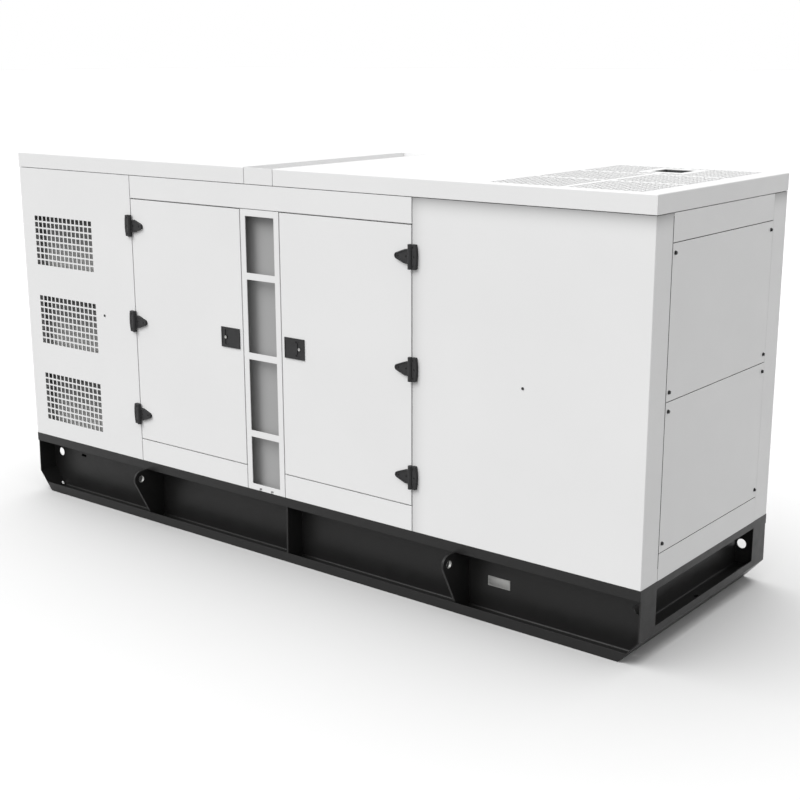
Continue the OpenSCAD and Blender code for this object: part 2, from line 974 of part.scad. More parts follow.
timing_t = 20;
timing_w = 340;
pulley_r = 120;
pulley_t = 40;
pulley_gap = 30;
pulley_x = block_r_x + pulley_gap;
charger_r = 72;
charger_l = 150;
charger_y = block_w/2 + charger_r;
charger_z = head_z - charger_r;
charger_pulley_r = 42;
fan_pulley_r = 76;
belt_t = 9;
belt_in = 8;

core_gap = 70;
core_x = pulley_x + pulley_t + core_gap;
radiator_top = base_h + radiator_h;
tank_h = 110;
frame_w = 40;
shroud_r = 400;
shroud_l = 60;
fan_blades = 8;
fan_tilt = 24;
fan_gap = 26;
fan_hub_r = 72;
fan_r = shroud_r - fan_gap;
fan_x = core_x - shroud_l/2;
fan_z = (rail_z + radiator_top)/2;
blade_w = 110;
blade_root_w = 80;
blade_t = 5;
cap_r = 34;
cap_h = 22;

hose_r = 30;
charge_pipe_r = 44;
hose_bend = 80;
hose_z = radiator_top - tank_h/2;
hose_x = block_r_x - manifold_r;
thermostat_r = 40;
thermostat_h = 100;
thermostat_y = head_y + hose_r;
stub_h = 70;

rail_end_l = coupling_x - alternator_l - foot_w;
rail_end_r = core_x + core_t - rail_short;

pipe_z = rail_low - pipe_r - 2*seam;
joint_t = 14;
joint_out = 32;
bellows = 7;
bellows_step = 22;
bellows_out = 14;

// Channel bars that carry the engine, the alternator and the radiator
module engine_rails() {
  color(black) both_sides()
    cross_plate(rail_end_l, rail_end_r) difference() {
      translate([rail_y - rail_w/2, base_h]) square([rail_w, rail_h]);
      translate([rail_y - rail_w/2 + rail_t, base_h + rail_t]) square([rail_w, rail_h - 2*rail_t]);
    }
}

module along_x(x0, x1, y, z, r) {
  translate([x0, y, z]) rotate([0, 90, 0]) cylinder(h = x1 - x0, r = r);
}

module engine_block() {
  along_x(coupling_x, block_l_x, 0, shaft_z, housing_r);
  span([block_l_x, -block_w/2, block_z], [block_r_x, block_w/2, head_z]);
  for (z = [block_z, head_z - flange_h])
    span([block_l_x, -block_w/2 - flange_out, z], [block_r_x, block_w/2 + flange_out, z + flange_h]);
  for (i = [1:cylinders - 1]) translate([block_l_x + i*cylinder_step, 0, 0])
    span([-block_rib_w/2, -block_w/2 - block_rib_out, block_z],
      [block_rib_w/2, block_w/2 + block_rib_out, head_z - flange_h]);
  for (i = [0:cylinders - 1])
    translate([block_l_x + (i + 1/2)*cylinder_step, 0, block_z + block_h*core_plug_share])
      rotate([90, 0, 0]) cylinder(h = block_w + 2*core_plug_out, r = core_plug_r, center = true);
  cross_plate(block_l_x + sump_in, block_r_x - sump_in) polygon([
    [-block_w/2, block_z], [block_w/2, block_z],
    [block_w/2 - sump_in, block_z - sump_h], [-block_w/2 + sump_in, block_z - sump_h]]);
}

module cover_outline() {
  y = cover_y - cover_r;
  translate([-cover_y, cover_z]) square([2*cover_y, cover_h - cover_r]);
  translate([-y, cover_z]) square([2*y, cover_h]);
  for (s = [-1, 1]) translate([s*y, cover_z + cover_h - cover_r]) circle(cover_r);
}

// Six heads, each with its rocker cover and its ports to the manifolds
module engine_heads() {
  for (i = [0:cylinders - 1]) translate([block_l_x + i*cylinder_step, 0, 0]) {
    span([head_gap/2, -head_y, head_z], [cylinder_step - head_gap/2, head_y, cover_z]);
    cross_plate(cover_gap/2, cylinder_step - cover_gap/2) cover_outline();
    span([(cylinder_step - runner_w)/2, -manifold_y, manifold_z - runner_w/2],
      [(cylinder_step + runner_w)/2, manifold_y, manifold_z + runner_w/2]);
  }
  translate([block_l_x + cylinder_step/2, 0, cover_z + cover_h]) cylinder(h = filler_h, r = filler_r);
  both_sides() along_x(block_l_x + manifold_in, block_r_x - manifold_in, manifold_y, manifold_z, manifold_r);
}

// Scroll casing about the shaft of the turbocharger
module scroll(x) {
  translate([x, turbo_y, turbo_z]) rotate([0, 90, 0]) {
    rotate_extrude() translate([turbo_r, 0]) circle(scroll_r);
    cylinder(h = scroll_r, r = turbo_r, center = true);
  }
}

// Turbocharger with its air cleaner, over the exhaust manifold
module engine_air() {
  for (s = [-1, 1]) scroll(turbo_x + s*turbo_l/3);
  along_x(cleaner_end_x, turbo_x + turbo_l/2, turbo_y, turbo_z, duct_r);
  translate([turbo_x, turbo_y, turbo_z]) cylinder(h = turbo_top - turbo_z, r = pipe_r);
  along_x(cleaner_end_x - cleaner_l, cleaner_end_x, cleaner_y, cleaner_z, cleaner_r);
  for (s = bracket_shares) translate([cleaner_end_x - cleaner_l*s, 0, 0])
    span([-bracket_t/2, head_y - bracket_t, cover_z - bracket_t], [bracket_t/2, cleaner_y, cleaner_z]);
}

// Filters and starter motor on the door side
module engine_side() {
  for (s = [-1, 1])
    translate([block_l_x + block_l/2 + s*filter_step/2, filter_in - block_w/2 - filter_r, filter_z]) {
      cylinder(h = filter_h, r = filter_r);
      sphere(filter_r);
    }
  translate([block_l_x + block_l/2, 0, filter_z + filter_h])
    span([-filter_step/2 - filter_r - filter_head_out, -block_w/2 - 2*filter_r - filter_head_out, 0],
      [filter_step/2 + filter_r + filter_head_out, 0, filter_head_h]);
  x = block_l_x - starter_in;
  along_x(x, block_l_x + starter_l, -starter_y, starter_z, starter_r);
  along_x(x, block_l_x + solenoid_l, -starter_y, starter_z + starter_r + solenoid_r/2, solenoid_r);
}

// Pulleys that the belt runs round, each as width place, height and radius, turning the same way
pulleys = [
  [0, shaft_z, pulley_r], [0, fan_z, fan_pulley_r], [-charger_y, charger_z, charger_pulley_r]];

function belt_angle(p, q) =
  let (d = [q[0] - p[0], q[1] - p[1]]) atan2(d[1], d[0]) - acos((p[2] - q[2])/norm(d));

function belt_arc(i, out) =
  let (
    p = pulleys[i],
    a0 = belt_angle(pulleys[(i + 2)%3], p),
    a1 = belt_angle(p, pulleys[(i + 1)%3]))
  arc([p[0], p[1]], p[2] + out, a0, a1 < a0 ? a1 + 360 : a1, 12);

module belt_outline(out) {
  polygon([for (i = [0:2]) each belt_arc(i, out)]);
}

// Timing case, pulleys, belt, charging alternator and fan
module engine_front() {
  span([block_r_x, -timing_w/2, block_z + flange_h], [block_r_x + timing_t, timing_w/2, head_z - flange_h]);
  along_x(block_r_x, pulley_x, 0, shaft_z, pulley_r/2);
  for (p = pulleys) along_x(pulley_x, pulley_x + pulley_t, p[0], p[1], p[2]);
  cross_plate(pulley_x + belt_in, pulley_x + pulley_t - belt_in) difference() {
    belt_outline(belt_t);
    belt_outline(-over);
  }
  along_x(pulley_x - charger_l, pulley_x - belt_in, -charger_y, charger_z, charger_r);
  along_x(pulley_x - belt_in, pulley_x, -charger_y, charger_z, charger_pulley_r/2);
  span([pulley_x - charger_l/2, -charger_y, charger_z - foot_t], [block_r_x, 0, charger_z + foot_t]);
  along_x(block_r_x, fan_x + shroud_l/4, 0, fan_z, fan_hub_r);
  translate([fan_x, 0, fan_z]) for (k = [0:fan_blades - 1])
    rotate([k*360/fan_blades, 0, 0]) rotate([0, 0, fan_tilt]) cross_plate(-blade_t/2, blade_t/2)
      polygon([
        [-blade_root_w/2, fan_hub_r/2], [blade_root_w/2, fan_hub_r/2],
        [blade_w/2, fan_r], [-blade_w/2, fan_r]]);
  translate([hose_x, thermostat_y, head_z]) cylinder(h = thermostat_h, r = thermostat_r);
  along_x(block_r_x - manifold_in, hose_x, -manifold_y, manifold_z, manifold_r);
  translate([hose_x, -manifold_y, manifold_z]) {
    sphere(manifold_r);
    cylinder(h = stub_h, r = manifold_r);
  }
}

// Cross plates on the rails and the brackets up to the block
module engine_feet() {
  for (s = foot_shares) translate([block_l_x + block_l*s, 0, 0]) {
    span([-foot_w/2, -rail_y - rail_w/2, rail_z], [foot_w/2, rail_y + rail_w/2, rail_z + foot_t]);
    both_sides() for (e = [-1, 1]) translate([e*(foot_w - foot_t)/2, 0, 0])
      cross_plate(-foot_t/2, foot_t/2) polygon([
        [block_w/2 - foot_t, rail_z + foot_t], [rail_y + rail_w/2, rail_z + foot_t],
        [block_w/2 + foot_t, block_z + foot_w], [block_w/2 - foot_t, block_z + foot_w]]);
  }
}

module engine() {
  color(iron) {
    engine_block();
    engine_heads();
    engine_air();
    engine_side();
    engine_front();
    engine_feet();
  }
}

// Alternator

bell_l = 110;
bell_r = 255;
adaptor_l = 90;
ring_out = 7;
ring_w = 18;
ring_shares = [0.16, 0.32, 0.48, 0.64, 0.8];
vents = 16;
vent_w = 46;
vent_depth = 30;
vent_margin = 16;
box_shares = [0.2, 0.75];
box_h = 270;
box_w = 440;
lid_t = 18;
lid_out = 10;
cover_plate_t = 5;
cover_plate_in = 28;
alternator_foot_shares = [0.2, 0.75];

// Ring of air slots cut between x0 and x1
module vent_ring(x0, x1, r) {
  for (k = [0:vents - 1]) translate([0, 0, shaft_z]) rotate([k*360/vents, 0, 0])
    span([x0 + vent_margin, -vent_w/2, r - vent_depth], [x1 - vent_margin, vent_w/2, r + vent_depth]);
}

module alternator() {
  x0 = coupling_x - alternator_l;
  box_l = x0 + alternator_l*box_shares[0];
  box_r = x0 + alternator_l*box_shares[1];
  box_z = shaft_z + alternator_r + box_h;
  color(steel) {
    difference() {
      union() {
        along_x(x0, x0 + bell_l, 0, shaft_z, bell_r);
        along_x(x0 + bell_l, coupling_x, 0, shaft_z, alternator_r);
        for (s = ring_shares) translate([x0 + alternator_l*s, 0, 0])
          along_x(-ring_w/2, ring_w/2, 0, shaft_z, alternator_r + ring_out);
      }
      vent_ring(x0, x0 + bell_l, bell_r);
      vent_ring(coupling_x - adaptor_l, coupling_x, alternator_r);
    }
    span([box_l, -box_w/2, shaft_z], [box_r, box_w/2, box_z]);
    span([box_l - lid_out, -box_w/2 - lid_out, box_z], [box_r + lid_out, box_w/2 + lid_out, box_z + lid_t]);
    both_sides() span([box_l + cover_plate_in, -box_w/2 - cover_plate_t, box_z - box_h + cover_plate_in],
      [box_r - cover_plate_in, -box_w/2, box_z - cover_plate_in]);
    for (s = alternator_foot_shares) translate([x0 + alternator_l*s, 0, 0])
      span([-foot_w/2, -rail_y - rail_w/2, rail_z], [foot_w/2, rail_y + rail_w/2, rail_z + foot_t]);
    span([x0 + alternator_l*alternator_foot_shares[0], -alternator_r/2, rail_z + foot_t],
      [x0 + alternator_l*alternator_foot_shares[1], alternator_r/2, shaft_z]);
  }
}

// Hose that rises from the engine and bends over into the top tank
module riser(y, z0, r) {
  translate([hose_x, y, z0]) cylinder(h = hose_z - hose_bend - z0, r = r);
  translate([hose_x + hose_bend, y, hose_z - hose_bend]) rotate([90, 0, 180])
    rotate_extrude(angle = 90) translate([hose_bend, 0]) circle(r);
  along_x(hose_x + hose_bend, core_x, y, hose_z, r);
}

// Core between two tanks and two side channels, with a ring shroud round the fan
module radiator() {
  side_y = radiator_w/2 - frame_w;
  low_x = core_x - frame_w/2;
  high_x = core_x + core_t + frame_w/2;
  mid_x = core_x - shroud_l/2;
  color(black) {
    span([core_x, -side_y, rail_z + tank_h], [core_x + core_t, side_y, radiator_top - tank_h]);
    both_sides() span([low_x, side_y, rail_z], [high_x, radiator_w/2, radiator_top]);
    span([low_x, -side_y, rail_z], [high_x, side_y, rail_z + tank_h]);
    span([low_x, -side_y, radiator_top - tank_h], [high_x, side_y, radiator_top + frame_w]);
    translate([low_x + core_t/2, -side_y/2, radiator_top + frame_w]) cylinder(h = cap_h, r = cap_r);
    difference() {
      union() {
        span([mid_x, -side_y, rail_z + tank_h], [core_x, side_y, radiator_top - tank_h]);
        along_x(core_x - shroud_l, core_x, 0, fan_z, shroud_r + sheet_t);
      }
      span([mid_x + sheet_t, -side_y + sheet_t, rail_z + tank_h + sheet_t],
        [core_x, side_y - sheet_t, radiator_top - tank_h - sheet_t]);
      along_x(core_x - shroud_l - over, core_x, 0, fan_z, shroud_r);
    }
    riser(thermostat_y, head_z + thermostat_h, hose_r);
    riser(-manifold_y, manifold_z + stub_h, charge_pipe_r);
  }
}

stand_t = 40;
stand_w = 260;
inlet_y = 0;
band_t = 6;
dome_share = 0.38;
dome_steps = 6;

// Shell with domed ends, turned about its length
module silencer_shell() {
  dome = silencer_r*dome_share;
  straight = silencer_l/2 - dome;
  rotate_extrude() polygon(concat(
    [for (i = [0:dome_steps]) let (a = 90*i/dome_steps - 90) [silencer_r*cos(a), dome*sin(a) - straight]],
    [for (i = [0:dome_steps]) let (a = 90*i/dome_steps) [silencer_r*cos(a), dome*sin(a) + straight]]));
}

// Bolted joint or bellows ring round a pipe that runs along the set
module pipe_ring(x, t, out) {
  along_x(x - t/2, x + t/2, inlet_y, pipe_z, pipe_r + out);
}

module exhaust_silencer() {
  sil_z = (rail_z + pipe_z)/2;
  bellows_x = turbo_x + pipe_r + joint_out;
  color(steel) {
    translate([exhaust_x, 0, sil_z]) rotate([90, 0, 0]) silencer_shell();
    both_sides() {
      span([exhaust_x - stand_w/2, silencer_l/4, base_h],
        [exhaust_x + stand_w/2, silencer_l/4 + stand_t, sil_z]);
      translate([exhaust_x, silencer_l/4 + stand_t, sil_z]) rotate([90, 0, 0])
        cylinder(h = stand_t, r = silencer_r + band_t);
    }
    translate([exhaust_x, exhaust_y - pipe_r, sil_z]) cylinder(h = roof_z - sil_z, r = pipe_r);
    translate([exhaust_x, inlet_y, sil_z]) cylinder(h = pipe_z - sil_z, r = pipe_r);
    translate([exhaust_x, inlet_y, pipe_z]) sphere(pipe_r);
    along_x(turbo_x, exhaust_x, inlet_y, pipe_z, pipe_r);
    for (i = [0:bellows - 1]) pipe_ring(bellows_x + i*bellows_step, bellows_step/2, bellows_out);
    for (i = [-1, bellows + 1]) pipe_ring(bellows_x + i*bellows_step, joint_t, joint_out);
    translate([turbo_x, inlet_y, pipe_z]) sphere(pipe_r);
    translate([turbo_x, inlet_y, pipe_z]) rotate([-90, 0, 0]) cylinder(h = turbo_y - inlet_y, r = pipe_r);
    translate([turbo_x, turbo_y, pipe_z]) sphere(pipe_r);
    translate([turbo_x, turbo_y, turbo_top]) cylinder(h = pipe_z - turbo_top, r = pipe_r);
    translate([turbo_x, turbo_y, turbo_top]) cylinder(h = joint_t, r = pipe_r + joint_out);
  }
}

base_side_front();
base_side_back();
base_end_left();
base_end_right();
base_deck();
fuel_tank();
lifting_lugs_front();
lifting_lugs_back();
frame_posts();
frame_rails();
inlet_baffles();
inlet_panel_front();
inlet_panel_back();
header_front();
header_back();
sills_front();
sills_back();
middle_post_front();
middle_post_back();
plain_panel_front();
plain_panel_back();
end_strips_left();
end_strips_right();
access_panels_left();
access_panel_upper();
access_panel_lower();
roof_left();
roof_right();
roof_gutter();
left_door();
left_door_pad();
left_hinge_leaves();
left_latch();
right_door();
right_door_pad();
right_hinge_leaves();
right_latch();
hinge_blocks_front();
back_doors();
back_hinges();
back_latches();
engine_rails();
engine();
alternator();
radiator();
exhaust_silencer();
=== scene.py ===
import math
import bpy
from mathutils import Matrix, Vector


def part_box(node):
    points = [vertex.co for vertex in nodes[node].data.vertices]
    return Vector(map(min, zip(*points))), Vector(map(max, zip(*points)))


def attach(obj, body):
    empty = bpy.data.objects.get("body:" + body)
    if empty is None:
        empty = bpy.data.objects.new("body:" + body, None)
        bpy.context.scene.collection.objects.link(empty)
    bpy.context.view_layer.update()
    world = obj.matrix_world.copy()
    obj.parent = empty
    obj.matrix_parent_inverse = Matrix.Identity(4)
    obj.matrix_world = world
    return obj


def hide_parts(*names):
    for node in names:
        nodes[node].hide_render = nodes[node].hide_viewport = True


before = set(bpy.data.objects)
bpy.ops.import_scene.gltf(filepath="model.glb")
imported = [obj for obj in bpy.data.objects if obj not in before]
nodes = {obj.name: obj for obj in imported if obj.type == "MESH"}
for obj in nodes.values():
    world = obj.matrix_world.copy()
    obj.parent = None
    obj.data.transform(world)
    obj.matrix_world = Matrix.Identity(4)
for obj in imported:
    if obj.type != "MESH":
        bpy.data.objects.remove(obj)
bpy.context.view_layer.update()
print("frame loaded,", len(nodes), "nodes")


# small helpers, used by every piece

def clearPick():
    if bpy.context.object and bpy.context.object.mode != "OBJECT":
        bpy.ops.object.mode_set(mode="OBJECT")
    bpy.ops.object.select_all(action="DESELECT")


def pick(*pieces):
    clearPick()
    for piece in pieces:
        piece.select_set(True)
    bpy.context.view_layer.objects.active = pieces[0]


def settle(piece):
    pick(piece)
    bpy.ops.object.transform_apply(location=True, rotation=True, scale=True)
    return piece


def addBlock(name, low, high):
    clearPick()
    low, high = Vector(low), Vector(high)
    bpy.ops.mesh.primitive_cube_add(size=1, location=(low + high) / 2)
    block = bpy.context.object
    block.name = name
    block.scale = high - low
    return settle(block)


axisTurns = {"x": (0, math.pi / 2, 0), "y": (math.pi / 2, 0, 0), "z": (0, 0, 0)}


def addRound(name, centre, radius, depth, axis, sides=24):
    clearPick()
    bpy.ops.mesh.primitive_cylinder_add(
        vertices=sides, radius=radius, depth=depth, location=centre, rotation=axisTurns[axis])
    piece = bpy.context.object
    piece.name = name
    return settle(piece)


def editFaces(piece, test):
    pick(piece)
    bpy.ops.object.mode_set(mode="EDIT")
    bpy.ops.mesh.select_mode(type="FACE")
    bpy.ops.mesh.select_all(action="DESELECT")
    bpy.ops.object.mode_set(mode="OBJECT")
    for face in piece.data.polygons:
        face.select = test(face)
    bpy.ops.object.mode_set(mode="EDIT")


def editDone():
    bpy.ops.object.mode_set(mode="OBJECT")


flatEnough = 0.9  # part of a normal along an axis, from which the face looks that way


def facing(axis, way):
    return lambda face: way * getattr(face.normal, axis) > flatEnough


# a rim round the face that looks one way, and a step down inside it
def sinkFace(piece, axis, way, rim, step, depth):
    editFaces(piece, facing(axis, way))
    bpy.ops.mesh.inset(thickness=rim)
    bpy.ops.mesh.inset(thickness=step, depth=-depth)
    editDone()


def applyLast(piece):
    pick(piece)
    bpy.ops.object.modifier_apply(modifier=piece.modifiers[-1].name)


def softenEdges(piece, width, steps=2, angle=30):
    bevel = piece.modifiers.new("edge", "BEVEL")
    bevel.width = width
    bevel.segments = steps
    bevel.limit_method = "ANGLE"
    bevel.angle_limit = math.radians(angle)
    applyLast(piece)


def copyTo(source, name, matrix):
    piece = source.copy()
    piece.data = source.data.copy()
    piece.name = name
    bpy.context.collection.objects.link(piece)
    piece.matrix_world = matrix
    return settle(piece)


def joinAll(name, pieces):
    pick(*pieces)
    if len(pieces) > 1:
        bpy.ops.object.join()
    pieces[0].name = name
    return pieces[0]


def removePiece(piece):
    bpy.data.objects.remove(piece)


def finishPiece(piece, body, material, angle=35):
    settle(piece)
    piece.data.materials.clear()
    piece.data.materials.append(material)
    bpy.ops.object.shade_smooth_by_angle(angle=math.radians(angle))
    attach(piece, body)
    return piece


# the same small part at many places, as one piece
def setCopies(source, name, places, body, material):
    copies = [copyTo(source, name, place) for place in places]
    finishPiece(joinAll(name, copies), body, material)


# node helpers for the materials, which all read Object coordinates

noiseLow, noiseHigh = 0.3, 0.7  # nearly all of a noise lies between these
bevelSamples = 4
edgeFade = 3.0  # power by which a shaded edge fades


# an input that is given a socket is linked to it
def addNode(tree, kind, inputs=None, **settings):
    node = tree.nodes.new(kind)
    for key, value in settings.items():
        setattr(node, key, value)
    for key, value in (inputs or {}).items():
        if isinstance(value, bpy.types.NodeSocket):
            tree.links.new(value, node.inputs[key])
        else:
            node.inputs[key].default_value = value
    return node


def startMaterial(name, look):
    material = bpy.data.materials.new(name)
    material.use_nodes = True
    tree = material.node_tree
    shader = tree.nodes["Principled BSDF"]
    shader.inputs["Roughness"].default_value = look["rough"]
    shader.inputs["Metallic"].default_value = look.get("metal", 0.0)
    shader.inputs["Specular IOR Level"].default_value = look.get("specular", 0.5)
    place = addNode(tree, "ShaderNodeTexCoord").outputs["Object"]
    return material, tree, shader, place


def addMath(tree, operation, *values):
    return addNode(tree, "ShaderNodeMath", dict(enumerate(values)), operation=operation).outputs["Value"]


def addVectorMath(tree, operation, *values):
    node = addNode(tree, "ShaderNodeVectorMath", dict(enumerate(values)), operation=operation)
    return node.outputs["Vector"]


def splitPlace(tree, place):
    return addNode(tree, "ShaderNodeSeparateXYZ", {"Vector": place}).outputs


def addSpread(tree, value, fromLow, fromHigh, toLow=0.0, toHigh=1.0):
    limits = {"From Min": fromLow, "From Max": fromHigh, "To Min": toLow, "To Max": toHigh}
    return addNode(tree, "ShaderNodeMapRange", {"Value": value, **limits}).outputs["Result"]


def addNoise(tree, place, scale, detail=3.0, rough=0.5):
    grain = {"Scale": scale, "Detail": detail, "Roughness": rough}
    return addNode(tree, "ShaderNodeTexNoise", {"Vector": place, **grain}).outputs["Fac"]


def addCells(tree, place, scale):
    return addNode(tree, "ShaderNodeTexVoronoi", {"Vector": place, "Scale": scale}).outputs["Distance"]


def addRamp(tree, value, low, high, lowColour, highColour):
    ramp = addNode(tree, "ShaderNodeValToRGB", {"Fac": value})
    first, last = ramp.color_ramp.elements
    first.position, first.color = low, (*lowColour, 1)
    last.position, last.color = high, (*highColour, 1)
    return ramp.outputs["Color"]


def addClouds(tree, noise, lowColour, highColour):
    return addRamp(tree, noise, noiseLow, noiseHigh, lowColour, highColour)


def addGloss(tree, shader, noise, low, high):
    tree.links.new(addSpread(tree, noise, noiseLow, noiseHigh, low, high), shader.inputs["Roughness"])


def addBump(tree, shader, height, depth, strength, edge=0.0):
    bump = addNode(tree, "ShaderNodeBump", {"Height": height, "Distance": depth, "Strength": strength})
    if edge:  # rounds the hard edges of folded sheet in the shading
        soft = addNode(tree, "ShaderNodeBevel", {"Radius": edge}, samples=bevelSamples)
        tree.links.new(soft.outputs["Normal"], bump.inputs["Normal"])
    tree.links.new(bump.outputs["Normal"], shader.inputs["Normal"])


def tinted(colour, share):
    return tuple(part * share for part in colour)


def darken(tree, colour, share):
    mix = addNode(
        tree, "ShaderNodeMix", {"Factor": 1.0, "A": colour, "B": share},
        data_type="RGBA", blend_type="MULTIPLY")
    return mix.outputs["Result"]


# painted shade: the pockets are darkened with depth behind the face, standing in for the shade inside them
def paintedPocketShade(tree, colour, place, look):
    out = addMath(tree, "ABSOLUTE", splitPlace(tree, place)["Y"])
    return darken(tree, colour, addSpread(tree, out, look["back"], look["face"], look["share"], 1.0))


# soft shade along an edge, fading towards the end of its reach
def shadeAtEdge(tree, colour, place, look):
    near = addSpread(tree, splitPlace(tree, place)[look["axis"]], look["end"], look["edge"])
    curve = addMath(tree, "POWER", near, edgeFade)
    return darken(tree, colour, addSpread(tree, curve, 0.0, 1.0, 1.0, look["share"]))


# 1 inside the box between two corners, 0 outside it
def insideBox(tree, place, low, high):
    low, high = Vector(low), Vector(high)
    shift = addVectorMath(tree, "SUBTRACT", place, (low + high) / 2)
    away = addVectorMath(tree, "ABSOLUTE", addVectorMath(tree, "DIVIDE", shift, (high - low) / 2))
    parts = splitPlace(tree, away)
    most = addMath(tree, "MAXIMUM", addMath(tree, "MAXIMUM", parts["X"], parts["Y"]), parts["Z"])
    return addMath(tree, "LESS_THAN", most, 1.0)


# powder coat and enamel

coatNoise = {
    "cloudDetail": 4.0, "peelDetail": 2.0,
    "glossDetail": 5.0, "glossFiner": 6, "smoother": 0.05, "rougher": 0.06,
}


def coatedMetal(name, look):
    material, tree, shader, place = startMaterial(name, look)
    cloud = addNoise(tree, place, look["cloud"], coatNoise["cloudDetail"])
    shade = addClouds(tree, cloud, tinted(look["colour"], look["dull"]), look["colour"])
    # painted shade in the pockets, where the look asks for it
    if "pocketShade" in look:
        shade = paintedPocketShade(tree, shade, place, look["pocketShade"])
    for edge in look.get("edges", {}).values():
        shade = shadeAtEdge(tree, shade, place, edge)
    for zone in look.get("zones", {}).values():  # parts in another colour, and painted shade in seams and hole walls
        other = addClouds(tree, cloud, tinted(zone["colour"], look["dull"]), zone["colour"])
        inside = insideBox(tree, place, zone["low"], zone["high"])
        mix = addNode(tree, "ShaderNodeMix", {"Factor": inside, "A": shade, "B": other}, data_type="RGBA")
        shade = mix.outputs["Result"]
    tree.links.new(shade, shader.inputs["Base Color"])
    fine = addNoise(tree, place, look["cloud"] * coatNoise["glossFiner"], coatNoise["glossDetail"])
    addGloss(tree, shader, fine, look["rough"] - coatNoise["smoother"], look["rough"] + coatNoise["rougher"])
    peel = addNoise(tree, place, look["peel"], coatNoise["peelDetail"])
    addBump(tree, shader, peel, look["peelDepth"], look["peelStrength"], look["edge"])
    return material


canopyLook = {
    "colour": (0.74, 0.74, 0.74), "dull": 0.975, "rough": 0.46, "specular": 0.2,
    "cloud": 1.7, "peel": 420.0, "peelDepth": 0.0006, "peelStrength": 0.10, "edge": 0.003,
}
inletLook = {
    **canopyLook,
    "zones": {  # painted shade on the punched walls of the air holes, darkened so the sheet reads thinner
        "front_hole_shade": {
            "colour": (0.09, 0.09, 0.09),
            "low": (-1.892, -0.6249, 0.44), "high": (-1.396, -0.6221, 1.64)},
        "back_hole_shade": {
            "colour": (0.09, 0.09, 0.09),
            "low": (-1.892, 0.6221, 0.44), "high": (-1.396, 0.6249, 1.64)},
    },
}
endLook = {
    **canopyLook,
    "zones": {  # shaded sides of the trays, down in the seams
        "right_seams": {
            "colour": (0.08, 0.08, 0.08),
            "low": (1.9755, -0.483, 0.40), "high": (1.9998, 0.483, 1.88)},
        "left_seams": {
            "colour": (0.08, 0.08, 0.08),
            "low": (-1.9998, -0.483, 0.40), "high": (-1.9755, 0.483, 1.88)},
    },
}
plainLook = {
    **canopyLook,
    "edges": {  # shaded under the roof edge and beside the door
        "top": {"axis": "Z", "edge": 1.892, "end": 1.782, "share": 0.50},
        "door_side": {"axis": "X", "edge": 0.804, "end": 0.914, "share": 0.78},
    },
}
# painted shade in the pockets of the middle post
postLook = {**canopyLook, "pocketShade": {"back": 0.606, "face": 0.621, "share": 0.49}}
skidLook = {
    "colour": (0.0130, 0.0128, 0.0127), "dull": 0.85, "rough": 0.37, "specular": 0.30,
    "cloud": 3.1, "peel": 360.0, "peelDepth": 0.0008, "peelStrength": 0.18, "edge": 0.0025,
}
engineLook = {
    "colour": (0.105, 0.14, 0.115), "dull": 0.6, "rough": 0.45, "specular": 0.4,
    "cloud": 5.0, "peel": 90.0, "peelDepth": 0.002, "peelStrength": 0.3, "edge": 0.006,
    "zones": {
        "filters": {
            "colour": (0.50, 0.50, 0.48),
            "low": (0.07, -0.37, 0.62), "high": (0.35, -0.2365, 0.9495)},
        "starter": {
            "colour": (0.025, 0.025, 0.026),
            "low": (-0.279, -0.34, 0.74), "high": (0.03, -0.2305, 0.92)},
        "pulleys": {
            "colour": (0.020, 0.020, 0.021),
            "low": (0.7215, -0.5, 0.5), "high": (0.90, 0.5, 1.5)},
        "charger": {
            "colour": (0.33, 0.33, 0.33),
            "low": (0.575, -0.38, 0.91), "high": (0.7215, -0.245, 1.065)},
        "cleaner": {
            "colour": (0.022, 0.022, 0.023),
            "low": (-0.19, 0.19, 1.19), "high": (0.2215, 0.42, 1.41)},
        "turbo": {
            "colour": (0.12, 0.085, 0.065),
            "low": (0.2215, 0.14, 1.171), "high": (0.56, 0.40, 1.38)},
    },
}
alternatorLook = {
    "colour": (0.19, 0.20, 0.205), "dull": 0.75, "rough": 0.42, "specular": 0.4,
    "cloud": 4.0, "peel": 160.0, "peelDepth": 0.001, "peelStrength": 0.2, "edge": 0.005,
}
canopyWhite = coatedMetal("canopy_powder_coat", canopyLook)
postWhite = coatedMetal("post_powder_coat", postLook)
inletWhite = coatedMetal("inlet_powder_coat", inletLook)
endWhite = coatedMetal("end_powder_coat", endLook)
plainWhite = coatedMetal("plain_powder_coat", plainLook)
skidBlack = coatedMetal("skid_powder_coat", skidLook)
enginePaint = coatedMetal("engine_enamel", engineLook)
alternatorPaint = coatedMetal("alternator_enamel", alternatorLook)


# moulded hinges and latches

polymerLook = {
    "colour": (0.026, 0.026, 0.027), "dull": 0.75, "cloud": 25.0, "rough": 0.5, "specular": 0.25,
    "grain": 700.0, "depth": 0.0004, "strength": 0.35, "edge": 0.0015,
}


def mouldedPolymer(name, look):
    material, tree, shader, place = startMaterial(name, look)
    cloud = addNoise(tree, place, look["cloud"])
    shade = addClouds(tree, cloud, tinted(look["colour"], look["dull"]), look["colour"])
    tree.links.new(shade, shader.inputs["Base Color"])
    grain = addCells(tree, place, look["grain"])
    addBump(tree, shader, grain, look["depth"], look["strength"], look["edge"])
    return material


hardwareBlack = mouldedPolymer("hinge_polymer", polymerLook)


# open foam of the door lining, dark towards the borders of its cells

foamLook = {
    "colour": (0.032, 0.032, 0.034), "middle": 1.5, "border": 0.4, "fade": (0.1, 0.7),
    "rough": 0.95, "specular": 0.15, "sheen": 0.25, "sheenRough": 0.6,
    "cells": 260.0, "depth": 0.003, "strength": 0.7,
}


